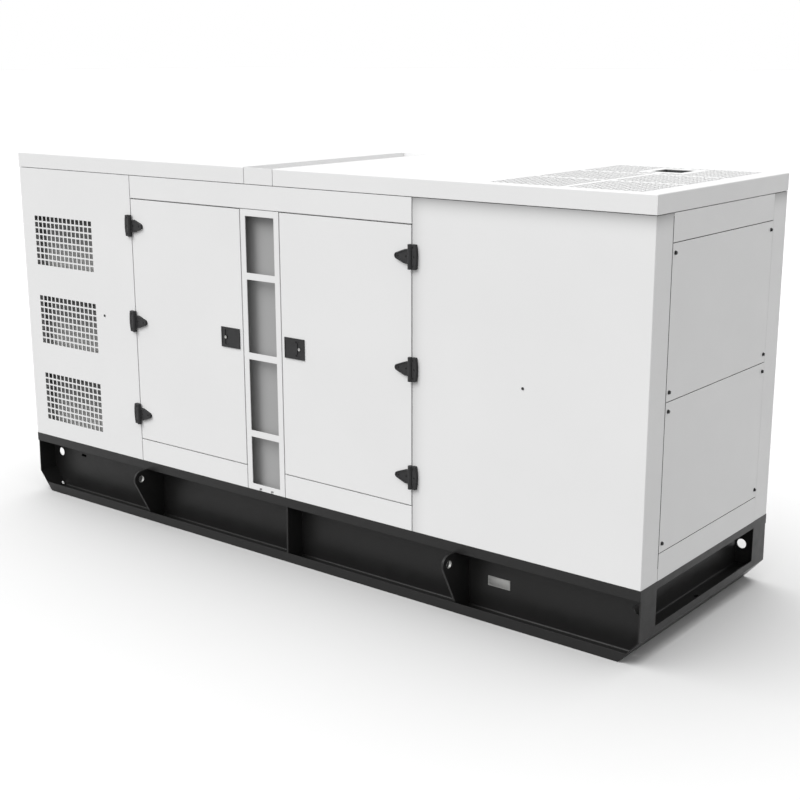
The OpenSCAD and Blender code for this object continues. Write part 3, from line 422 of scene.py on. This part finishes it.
def openFoam(name, look):
    material, tree, shader, place = startMaterial(name, look)
    cells = addCells(tree, place, look["cells"])
    light, dark = tinted(look["colour"], look["middle"]), tinted(look["colour"], look["border"])
    tree.links.new(addRamp(tree, cells, *look["fade"], light, dark), shader.inputs["Base Color"])
    shader.inputs["Sheen Weight"].default_value = look["sheen"]
    shader.inputs["Sheen Roughness"].default_value = look["sheenRough"]
    addBump(tree, shader, cells, look["depth"], look["strength"])
    return material


acousticFoam = openFoam("acoustic_foam", foamLook)


# felt lining behind the inlet grilles, with painted light: lighter towards the foot of each grille, where
# light falls through the holes above, and random patches of fluff

liningLook = {
    "colour": (0.20, 0.20, 0.20), "dustAndLight": (0.62, 0.62, 0.61), "rough": 0.95, "specular": 0.1,
    "foot": 0.40, "pitch": 0.453, "fade": (0.05, 0.6),
    "fluff": 30.0, "fluffDetail": 5.0, "fluffRough": 0.65, "patchy": 0.25,
    "fibre": 900.0, "depth": 0.001, "strength": 0.5,
}


def liningWithPaintedLight(name, look):
    material, tree, shader, place = startMaterial(name, look)
    rise = addMath(tree, "SUBTRACT", splitPlace(tree, place)["Z"], look["foot"])
    height = addSpread(tree, addMath(tree, "FLOORED_MODULO", rise, look["pitch"]), 0.0, look["pitch"])
    fluff = addNoise(tree, place, look["fluff"], look["fluffDetail"], look["fluffRough"])
    height = addMath(tree, "ADD", height, addMath(tree, "MULTIPLY", fluff, look["patchy"]))
    # painted light: the lit colour at the foot of each grille, the shaded one at its top
    shade = addRamp(tree, height, *look["fade"], look["dustAndLight"], look["colour"])
    tree.links.new(shade, shader.inputs["Base Color"])
    addBump(tree, shader, addNoise(tree, place, look["fibre"]), look["depth"], look["strength"])
    return material


inletLining = liningWithPaintedLight("inlet_felt", liningLook)


# radiator, with fins on its core and none on its tanks and hoses

finLook = {
    "colour": (0.018, 0.018, 0.019), "valley": 0.8, "crest": 2.2, "fade": (0.2, 0.8),
    "rough": 0.5, "specular": 0.4, "finScale": 16.5, "depth": 0.003, "strength": 0.8, "edge": 0.004,
    "core": {"low": (0.835, -0.455, 0.57), "high": (0.98, 0.455, 1.42)},
}


def finnedCore(name, look):
    material, tree, shader, place = startMaterial(name, look)
    fins = addNode(
        tree, "ShaderNodeTexWave", {"Vector": place, "Scale": look["finScale"]}, bands_direction="Z")
    height = addMath(tree, "MULTIPLY", fins.outputs["Fac"], insideBox(tree, place, **look["core"]))
    # painted light and shade: the crests of the fins are lightened and the valleys darkened
    dark, light = tinted(look["colour"], look["valley"]), tinted(look["colour"], look["crest"])
    tree.links.new(addRamp(tree, height, *look["fade"], dark, light), shader.inputs["Base Color"])
    addBump(tree, shader, height, look["depth"], look["strength"], look["edge"])
    return material


radiatorBlack = finnedCore("radiator_fins", finLook)


# silencer and pipes, stained by heat

steelLook = {
    "cool": (0.34, 0.33, 0.32), "hot": (0.20, 0.13, 0.085), "fade": (0.38, 0.66),
    "stain": 4.5, "stainDetail": 5.0, "stainRough": 0.6, "rough": 0.45, "metal": 0.85,
    "gloss": (0.58, 0.36), "brush": 140.0, "depth": 0.0008, "strength": 0.25, "edge": 0.004,
}


def heatedSteel(name, look):
    material, tree, shader, place = startMaterial(name, look)
    stain = addNoise(tree, place, look["stain"], look["stainDetail"], look["stainRough"])
    shade = addRamp(tree, stain, *look["fade"], look["hot"], look["cool"])
    tree.links.new(shade, shader.inputs["Base Color"])
    addGloss(tree, shader, stain, *look["gloss"])
    brush = addNoise(tree, place, look["brush"])
    addBump(tree, shader, brush, look["depth"], look["strength"], look["edge"])
    return material


exhaustSteel = heatedSteel("exhaust_steel", steelLook)


# brushed metal of the rating plate, bushes, clamps and lock cores

plateLook = {
    "colour": (0.42, 0.42, 0.41), "dull": 0.8, "rough": 0.42, "metal": 0.9, "gloss": (0.36, 0.5),
    "brush": (900.0, 40.0, 40.0), "streakDetail": 4.0, "streakRough": 0.6,
    "depth": 0.0002, "strength": 0.3,
}


def brushedPlate(name, look):
    material, tree, shader, place = startMaterial(name, look)
    stretch = addNode(tree, "ShaderNodeMapping", {"Vector": place, "Scale": look["brush"]})
    streaks = addNoise(tree, stretch.outputs["Vector"], 1.0, look["streakDetail"], look["streakRough"])
    shade = addClouds(tree, streaks, tinted(look["colour"], look["dull"]), look["colour"])
    tree.links.new(shade, shader.inputs["Base Color"])
    addGloss(tree, shader, streaks, *look["gloss"])
    addBump(tree, shader, streaks, look["depth"], look["strength"])
    return material


plateMetal = brushedPlate("plate_aluminium", plateLook)


# rubber of the door seals

rubberLook = {
    "colour": (0.014, 0.014, 0.015), "dusty": 2.2, "fade": (0.35, 0.75), "rough": 0.7, "specular": 0.3,
    "dustAndLight": 60.0, "dustDetail": 4.0, "dustRough": 0.6, "depth": 0.0005, "strength": 0.4,
}


def dustyRubber(name, look):
    material, tree, shader, place = startMaterial(name, look)
    dustAndLight = addNoise(tree, place, look["dustAndLight"], look["dustDetail"], look["dustRough"])
    shade = addRamp(tree, dustAndLight, *look["fade"], look["colour"], tinted(look["colour"], look["dusty"]))
    tree.links.new(shade, shader.inputs["Base Color"])
    addBump(tree, shader, dustAndLight, look["depth"], look["strength"])
    return material


sealRubber = dustyRubber("seal_rubber", rubberLook)


# blackened screws, bolts and plugs

screwLook = {
    "colour": (0.016, 0.016, 0.017), "dull": 0.6, "worn": 1.6, "cloud": 120.0,
    "rough": 0.42, "metal": 0.35, "gloss": (0.36, 0.5),
    "pits": 900.0, "pitDetail": 2.0, "depth": 0.0002, "strength": 0.2,
}


def blackenedSteel(name, look):
    material, tree, shader, place = startMaterial(name, look)
    cloud = addNoise(tree, place, look["cloud"])
    dark, light = tinted(look["colour"], look["dull"]), tinted(look["colour"], look["worn"])
    tree.links.new(addClouds(tree, cloud, dark, light), shader.inputs["Base Color"])
    addGloss(tree, shader, cloud, *look["gloss"])
    pits = addNoise(tree, place, look["pits"], look["pitDetail"])
    addBump(tree, shader, pits, look["depth"], look["strength"])
    return material


screwBlack = blackenedSteel("screw_black", screwLook)


# finish of every node that is carried over, by the start of its name; the rest is canopy white

nodeFinish = {
    "base_": skidBlack, "fuel_tank": skidBlack, "lifting_lugs": skidBlack, "engine_rails": skidBlack,
    "left_hinge": hardwareBlack, "right_hinge": hardwareBlack,
    "hinge_blocks": hardwareBlack, "back_hinges": hardwareBlack,
    "left_latch": hardwareBlack, "right_latch": hardwareBlack, "back_latches": hardwareBlack,
    "engine": enginePaint, "alternator": alternatorPaint, "radiator": radiatorBlack,
    "exhaust": exhaustSteel, "middle_post": postWhite, "plain_panel": plainWhite,
    "inlet_panel": inletWhite, "inlet_baffles": inletLining,
    "end_strips": endWhite, "access_panel": endWhite,
}
for nodeName, node in nodes.items():
    found = [key for key in nodeFinish if nodeName.startswith(key)]
    coat = nodeFinish[max(found, key=len)] if found else canopyWhite
    for materialSlot in node.material_slots:
        materialSlot.material = coat
print("materials set on", len(nodes), "nodes")


# camera at the photo's viewing angle

cameraSet = {
    "place": (4.471, -5.342, 2.494), "azimuth": 38.40, "elevation": 14.26, "roll": -0.15,
    "lens": 60.96, "sensor": 36.0, "reach": 400,
}


def addCamera(look):
    lens = bpy.data.cameras.new("photo_camera")
    lens.lens = look["lens"]
    lens.sensor_width = look["sensor"]
    lens.clip_end = look["reach"]
    camera = bpy.data.objects.new("photo_camera", lens)
    bpy.context.scene.collection.objects.link(camera)
    turn = Matrix.Rotation(math.radians(look["azimuth"]), 4, "Z")
    turn = turn @ Matrix.Rotation(math.radians(90 - look["elevation"]), 4, "X")
    turn = turn @ Matrix.Rotation(math.radians(look["roll"]), 4, "Z")
    camera.matrix_world = Matrix.Translation(look["place"]) @ turn
    bpy.context.scene.camera = camera


addCamera(cameraSet)


# pale floor and soft studio light

studio = {
    "floor": {
        "size": 400.0, "near": (0.45, 0.45, 0.45), "far": (0.50, 0.50, 0.50), "fade": (2.5, 7.0),
        "rough": 0.9, "specular": 0.1,
    },
    "sky": {"low": 0.27, "high": 1.0, "fade": (-0.17, -0.02)},
    "lamps": {  # one lamp for the set, one for its shadow on the floor
        "key_light": {"from": (-0.28, -0.64, 0.70), "power": 1.9, "spread": 40.0, "onFloor": "EXCLUDE"},
        "floor_light": {"from": (-0.30, 0.0, 0.95), "power": 4.6, "spread": 90.0, "onFloor": "INCLUDE"},
    },
}


def addFloor(look):
    clearPick()
    bpy.ops.mesh.primitive_plane_add(size=look["size"], location=(0, 0, 0))
    floor = bpy.context.object
    floor.name = "studio_floor"
    material, tree, shader, place = startMaterial("studio_floor", look)
    away = addNode(tree, "ShaderNodeVectorMath", {0: place}, operation="LENGTH").outputs["Value"]
    shade = addRamp(tree, addSpread(tree, away, *look["fade"]), 0, 1, look["near"], look["far"])
    tree.links.new(shade, shader.inputs["Base Color"])
    floor.data.materials.append(material)
    floor.visible_diffuse = False  # it throws no light back onto the set
    return floor


def addSky(look):
    world = bpy.data.worlds.new("studio")
    world.use_nodes = True
    tree = world.node_tree
    rise = splitPlace(tree, addNode(tree, "ShaderNodeTexCoord").outputs["Generated"])["Z"]
    sky = tree.nodes["Background"]
    sky.inputs["Color"].default_value = (1, 1, 1, 1)
    glow = addSpread(tree, rise, *look["fade"], look["low"], look["high"])
    tree.links.new(glow, sky.inputs["Strength"])
    bpy.context.scene.world = world


def addLamps(lamps, floor):
    for name, beam in lamps.items():
        lamp = bpy.data.lights.new(name, "SUN")
        lamp.energy = beam["power"]
        lamp.angle = math.radians(beam["spread"])
        light = bpy.data.objects.new(name, lamp)
        light.rotation_mode = "QUATERNION"
        light.rotation_quaternion = Vector(beam["from"]).to_track_quat("Z", "Y")
        bpy.context.scene.collection.objects.link(light)
        lit = bpy.data.collections.new(name + "_floor")
        lit.objects.link(floor)
        lit.collection_objects[0].light_linking.link_state = beam["onFloor"]
        light.light_linking.receiver_collection = lit


studioFloor = addFloor(studio["floor"])
addSky(studio["sky"])
addLamps(studio["lamps"], studioFloor)
bpy.context.scene.view_settings.view_transform = "Standard"
print("camera and studio ready")


# bolts that hold the access panels on both ends

endBolt = {
    "washer": 0.009, "washerThick": 0.0018, "head": 0.0075, "headHigh": 0.0055,
    "sideIn": 0.0215, "endIn": 0.039, "turn": 17,  # degrees from one bolt to the next
}
boltShape = {"washerSoft": 0.4, "crownIn": 0.16, "crownHigh": 0.12, "headSoft": 0.06}


def makeBolt(look):
    thick, radius, high = look["washerThick"], look["head"], look["headHigh"]
    washer = addRound("washer", (thick / 2, 0, 0), look["washer"], thick, "x", 28)
    softenEdges(washer, thick * boltShape["washerSoft"])
    head = addRound("head", (thick + high / 2, 0, 0), radius, high, "x", 6)
    editFaces(head, facing("x", 1))
    bpy.ops.mesh.inset(thickness=radius * boltShape["crownIn"], depth=high * boltShape["crownHigh"])
    editDone()
    softenEdges(head, radius * boltShape["headSoft"])
    return joinAll("bolt", [head, washer])


def panelCorners(low, high, look):
    for y in (low.y + look["sideIn"], high.y - look["sideIn"]):
        for z in (low.z + look["endIn"], high.z - look["endIn"]):
            yield y, z


def boltEnds(look):
    bolt = makeBolt(look)
    upper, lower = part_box("access_panel_upper"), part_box("access_panel_lower")
    spots = [spot for low, high in (upper, lower) for spot in panelCorners(low, high, look)]
    for name, side in (("end_bolts_right", 1), ("end_bolts_left", -1)):
        outwards = Matrix.Rotation(math.pi if side < 0 else 0, 4, "Z")
        places = []
        for count, (y, z) in enumerate(spots):
            turn = Matrix.Rotation(math.radians(count * look["turn"]), 4, "X")
            places.append(Matrix.Translation((side * upper[1].x, y, z)) @ outwards @ turn)
        setCopies(bolt, name, places, "root", screwBlack)
    removePiece(bolt)


boltEnds(endBolt)
print("end panels bolted")


# bolts on the rocker covers, the feet and the terminal box

bayBolts = {  # size is the radius of the head
    "rocker_bolts": {
        "size": 0.010, "aim": "up", "turn": 23,
        "x": [-0.2113 + 0.1633 * cover for cover in range(6)], "y": (-0.092, 0.092), "z": [1.270]},
    "foot_bolts": {
        "size": 0.016, "aim": "up", "turn": 23,
        "x": (-1.05, -0.555, -0.133, 0.553), "y": (-0.33, 0.33), "z": [0.489]},
    "terminal_bolts": {
        "size": 0.007, "aim": "front", "turn": 23,
        "x": (-1.006, -0.8025, -0.599), "y": [-0.225], "z": (1.134, 1.316)},
}
bayShares = {"washer": 1.3, "washerThick": 0.24, "head": 1.0, "headHigh": 0.75}
boltAims = {"up": Matrix.Rotation(-math.pi / 2, 4, "Y"), "front": Matrix.Rotation(-math.pi / 2, 4, "Z")}


def addBayBolts(look):
    for name, row in look.items():
        bolt = makeBolt({part: row["size"] * share for part, share in bayShares.items()})
        places = []
        for spot in [(x, y, z) for x in row["x"] for y in row["y"] for z in row["z"]]:
            turn = Matrix.Rotation(math.radians(len(places) * row["turn"]), 4, "X")
            places.append(Matrix.Translation(spot) @ boltAims[row["aim"]] @ turn)
        setCopies(bolt, name, places, "root", screwBlack)
        removePiece(bolt)


addBayBolts(bayBolts)
print("engine bay bolted")


# blank rating plate on the front web of the skid

ratingPlate = {
    "wide": 0.121, "high": 0.047, "thick": 0.0016, "middle": (1.2195, 0.1535), "recess": 0.113,
    "border": 0.003, "groove": 0.0006, "grooveDeep": 0.0002, "soft": 0.0003, "sharp": 60,
    "rivet": {"radius": 0.0026, "long": 0.0016, "soft": 0.0007, "in": 0.0065, "out": 0.0004},
}


def addRatingPlate(look):
    x, z = look["middle"]
    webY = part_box("base_side_front")[0].y + look["recess"]
    faceY = webY - look["thick"]
    halfWide, halfHigh = look["wide"] / 2, look["high"] / 2
    plate = addBlock(
        "rating_plate", (x - halfWide, faceY, z - halfHigh), (x + halfWide, webY, z + halfHigh))
    editFaces(plate, facing("y", -1))
    bpy.ops.mesh.inset(thickness=look["border"])
    bpy.ops.mesh.inset(thickness=look["groove"], depth=-look["grooveDeep"])
    bpy.ops.mesh.inset(thickness=look["groove"], depth=look["grooveDeep"])
    editDone()
    softenEdges(plate, look["soft"], 1, look["sharp"])
    pin = look["rivet"]
    alongX, alongZ = halfWide - pin["in"], halfHigh - pin["in"]
    rivets = []
    for sideX in (-1, 1):
        for sideZ in (-1, 1):
            centre = (x + sideX * alongX, faceY - pin["out"], z + sideZ * alongZ)
            rivet = addRound("rivet", centre, pin["radius"], pin["long"], "y", 16)
            softenEdges(rivet, pin["soft"], 3)
            rivets.append(rivet)
    joinAll("rating_plate", [plate] + rivets)
    finishPiece(plate, "root", plateMetal)


addRatingPlate(ratingPlate)
print("rating plate fixed")


# bare metal bushes in the bores of the lifting lugs

lugBush = {"outer": 0.0189, "wall": 0.0012, "long": 0.0124, "x": 1.045, "y": 0.671, "z": 0.251}
ringShape = {"sides": 40, "soft": 0.3, "sharp": 50}


def makeRing(name, outer, wall, long, axis):
    ring = addRound(name, (0, 0, 0), outer, long, axis, ringShape["sides"])
    editFaces(ring, lambda face: abs(getattr(face.normal, axis)) > flatEnough)
    bpy.ops.mesh.inset(thickness=wall, use_individual=True)
    bpy.ops.mesh.bridge_edge_loops()
    editDone()
    softenEdges(ring, wall * ringShape["soft"], 2, ringShape["sharp"])
    return ring


def addBushes(look):
    bush = makeRing("bush", look["outer"], look["wall"], look["long"], "x")
    for name, side in (("lug_bushes_front", -1), ("lug_bushes_back", 1)):
        spots = [(end * look["x"], side * look["y"], look["z"]) for end in (-1, 1)]
        places = [Matrix.Translation(spot) for spot in spots]
        setCopies(bush, name, places, "root", plateMetal)
    removePiece(bush)


addBushes(lugBush)
print("lug bushes pressed in")


# clamps on the water hose and the charge pipe

hoseClamp = {
    "wall": 0.0016, "gap": 0.0003, "high": 0.013, "x": 0.650, "z": 1.228,
    "hoses": {0.200: 0.030, -0.205: 0.044},  # radius of the hose at each y
    "box": {"size": (0.024, 0.010, 0.011), "sunk": 0.001, "soft": 0.002},
    "screw": {
        "radius": 0.004, "long": 0.010, "out": 0.004,
        "rim": 0.0012, "step": 0.0003, "sink": 0.0015, "soft": 0.0003},
}


def makeClamp(outer, look):
    band = makeRing("band", outer, look["wall"], look["high"], "z")
    long, deep, tall = look["box"]["size"]
    backY = look["box"]["sunk"] - outer
    box = addBlock("box", (-long / 2, -outer - deep, -tall / 2), (long / 2, backY, tall / 2))
    softenEdges(box, look["box"]["soft"])
    pin = look["screw"]
    centre = (long / 2 + pin["out"], -outer - deep / 2, 0)
    screw = addRound("screw", centre, pin["radius"], pin["long"], "x", 6)
    sinkFace(screw, "x", 1, pin["rim"], pin["step"], pin["sink"])
    softenEdges(screw, pin["soft"])
    return joinAll("clamp", [band, box, screw])


def addClamps(look):
    clamps = []
    for y, radius in look["hoses"].items():
        clamp = makeClamp(radius + look["gap"] + look["wall"], look)
        clamps.append(copyTo(clamp, "hose_clamps", Matrix.Translation((look["x"], y, look["z"]))))
        removePiece(clamp)
    finishPiece(joinAll("hose_clamps", clamps), "root", plateMetal)


addClamps(hoseClamp)
print("hoses clamped")


# small plugs in the inlet panel and the plain panel

panelPlug = {
    "radius": 0.0065, "proud": 0.003, "rim": 0.35, "step": 0.1, "sink": 0.4, "soft": 0.25,
    "spots": {"inlet_panel_front": (-1.327, 1.120), "plain_panel_front": (1.399, 1.118)},
}


def addPlugs(look):
    radius, proud = look["radius"], look["proud"]
    plugs = []
    for panel, (x, z) in look["spots"].items():
        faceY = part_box(panel)[0].y
        plug = addRound("plug", (x, faceY - proud / 2, z), radius, proud, "y", 20)
        sinkFace(plug, "y", -1, radius * look["rim"], radius * look["step"], proud * look["sink"])
        softenEdges(plug, proud * look["soft"])
        plugs.append(plug)
    finishPiece(joinAll("panel_plugs", plugs), "root", screwBlack)


addPlugs(panelPlug)
print("plugs set")


# rubber seals on the frame round the door openings

doorSeal = {"wide": 0.018, "thick": 0.006, "overlap": 0.010, "soft": 0.4}


# leaves a frame of a flat sheet and gives it its thickness
def openFrame(sheet, wide, thick, side):
    editFaces(sheet, lambda face: True)
    bpy.ops.mesh.inset(thickness=wide)
    bpy.ops.mesh.delete(type="FACE")
    editDone()
    wall = sheet.modifiers.new("wall", "SOLIDIFY")
    wall.thickness = thick
    wall.offset = side
    applyLast(sheet)


def addSeals(name, doorBoxes, faceY, outward, look):
    seals = []
    for low, high in doorBoxes:
        clearPick()
        middle = ((low.x + high.x) / 2, faceY, (low.z + high.z) / 2)
        bpy.ops.mesh.primitive_plane_add(size=1, location=middle, rotation=(math.pi / 2, 0, 0))
        seal = bpy.context.object
        seal.scale = (high.x - low.x - look["overlap"], high.z - low.z - look["overlap"], 1)
        settle(seal)
        openFrame(seal, look["wide"], look["thick"], -outward)
        softenEdges(seal, look["thick"] * look["soft"], 3)
        seals.append(seal)
    finishPiece(joinAll(name, seals), "root", sealRubber)


tubeLow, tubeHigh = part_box("frame_posts")
frontDoors = [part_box("left_door"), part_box("right_door")]
addSeals("door_seals_front", frontDoors, tubeLow.y, -1, doorSeal)
addSeals("door_seals_back", frontDoors, tubeHigh.y, 1, doorSeal)
print("door seals laid")


# black collar under the square exhaust opening; its black stands in part for the shade down in the opening

exhaustCollar = {
    "wide": 0.155, "wall": 0.003, "high": 0.045, "soft": 0.2, "middle": (1.537, 0.400), "top": 1.9718,
}


def addCollar(look):
    clearPick()
    place = (*look["middle"], look["top"])
    bpy.ops.mesh.primitive_plane_add(size=look["wide"] + 2 * look["wall"], location=place)
    collar = settle(bpy.context.object)
    collar.name = "exhaust_collar"
    openFrame(collar, look["wall"], look["high"], -1)
    softenEdges(collar, look["wall"] * look["soft"])
    finishPiece(collar, "root", screwBlack)


addCollar(exhaustCollar)
print("exhaust collar set")


# screws in the wells of the hinges

hingeScrew = {
    "radius": 0.0037, "high": 0.0026, "rim": 0.42, "step": 0.06, "sink": 0.6, "soft": 0.12,
    "leafLong": 0.090, "rise": 0.511,  # rise from one hinge to the next
    "leaf": {"out": 0.006, "spots": ((0.0243, 0), (0.0684, 0))},
    "block": {"out": 0.011, "spots": ((-0.0169, -0.0414), (-0.0241, 0), (-0.0169, 0.0414))},
}


def makeScrew(look):
    radius, high = look["radius"], look["high"]
    screw = addRound("screw", (0, -high / 2, 0), radius, high, "y", 20)
    sinkFace(screw, "y", -1, radius * look["rim"], radius * look["step"], high * look["sink"])
    softenEdges(screw, radius * look["soft"])
    return screw


# half a turn about an upright line at x brings a front piece to the back
def turnToBack(x):
    there, away = Matrix.Translation((x, 0, 0)), Matrix.Translation((-x, 0, 0))
    return there @ Matrix.Rotation(math.pi, 4, "Z") @ away


def screwSpots(side, part, look):
    low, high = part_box(side + "_hinge_leaves")
    away = 1 if side == "left" else -1  # from the pin towards the door
    pinX = high.x - look["leafLong"] if side == "left" else low.x + look["leafLong"]
    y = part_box("left_door")[0].y - look[part]["out"]
    for x, z in look[part]["spots"]:
        for row in (-1, 0, 1):
            yield pinX + away * x, y, (low.z + high.z) / 2 + row * look["rise"] + z


def screwHinges(look):
    screw = makeScrew(look)
    backParts = [(side, part) for side in ("left", "right") for part in ("leaf", "block")]
    sets = {
        "hinge_screws_left_door": ("left_door_body", [("left", "leaf")]),
        "hinge_screws_right_door": ("right_door_body", [("right", "leaf")]),
        "hinge_screws_front": ("root", [("left", "block"), ("right", "block")]),
        "hinge_screws_back": ("root", backParts),
    }
    for name, (body, parts) in sets.items():
        places = []
        for spot in [spot for side, part in parts for spot in screwSpots(side, part, look)]:
            turn = turnToBack(spot[0]) if name.endswith("back") else Matrix.Identity(4)
            places.append(turn @ Matrix.Translation(spot))
        setCopies(screw, name, places, body, screwBlack)
    removePiece(screw)


screwHinges(hingeScrew)
print("hinges screwed")


# cores of the door locks, front and back, with a dust cover over the keyhole

lockCore = {
    "radius": 0.0075, "proud": 0.0016, "rim": 0.22, "step": 0.08, "sink": 0.45, "soft": 0.2, "sideIn": 0.031,
    "cover": {"wide": 0.0016, "tall": 0.0075, "high": 0.7, "soft": 0.3},
}


def addLockCore(side, look):
    low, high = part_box(side + "_latch")
    radius, proud = look["radius"], look["proud"]
    x = low.x + look["sideIn"] if side == "left" else high.x - look["sideIn"]
    z = (low.z + high.z) / 2
    core = addRound(side + "_lock_core", (x, low.y - proud / 2, z), radius, proud, "y", 32)
    sinkFace(core, "y", -1, radius * look["rim"], radius * look["step"], proud * look["sink"])
    softenEdges(core, proud * look["soft"])
    halfWide, halfTall = look["cover"]["wide"] / 2, look["cover"]["tall"] / 2
    frontY = low.y - proud * look["cover"]["high"]
    cover = addBlock("cover", (x - halfWide, frontY, z - halfTall), (x + halfWide, low.y, z + halfTall))
    softenEdges(cover, look["cover"]["wide"] * look["cover"]["soft"], 3)
    joinAll(side + "_lock_core", [core, cover])
    backCore = copyTo(core, "back_" + side + "_lock_core", turnToBack(x))
    finishPiece(core, side + "_door_body", plateMetal)
    finishPiece(backCore, "root", plateMetal)


for side in ("left", "right"):
    addLockCore(side, lockCore)
print("lock cores set")


# acoustic foam in the doors, pyramid faced, in place of the plain pads

doorFoam = {
    "cell": 0.046, "ridge": 0.020, "crest": 0.011, "edge": 0.006, "sunk": 0.0005, "smooth": 25,
    "slopes": ((0.45, 0.35), (0.75, 0.65)),  # shares of crest and ridge, foot first
}


def addFoam(side, look):
    node = side + "_door_pad"
    low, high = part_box(node)
    faceY = high.y - look["ridge"]
    foam = addBlock(side + "_door_foam", low, (high.x, faceY, high.z))
    softenEdges(foam, look["edge"])
    columns = round((high.x - low.x) / look["cell"])
    rows = round((high.z - low.z) / look["cell"])
    clearPick()
    margin = 2 * look["edge"]
    centre = ((low.x + high.x) / 2, faceY - look["sunk"], (low.z + high.z) / 2)
    bpy.ops.mesh.primitive_grid_add(
        x_subdivisions=columns, y_subdivisions=rows, size=1, location=centre, rotation=(-math.pi / 2, 0, 0))
    ridges = bpy.context.object
    ridges.scale = (high.x - low.x - margin, high.z - low.z - margin, 1)
    settle(ridges)
    editFaces(ridges, lambda face: True)
    for narrower, higher in look["slopes"]:
        bpy.ops.mesh.inset(
            thickness=look["crest"] * narrower, depth=look["ridge"] * higher, use_individual=True)
    editDone()
    joinAll(side + "_door_foam", [foam, ridges])
    finishPiece(foam, side + "_door_body", acousticFoam, look["smooth"])
    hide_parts(node)


for side in ("left", "right"):
    addFoam(side, doorFoam)
print("door foam made")


print("pieces finished")
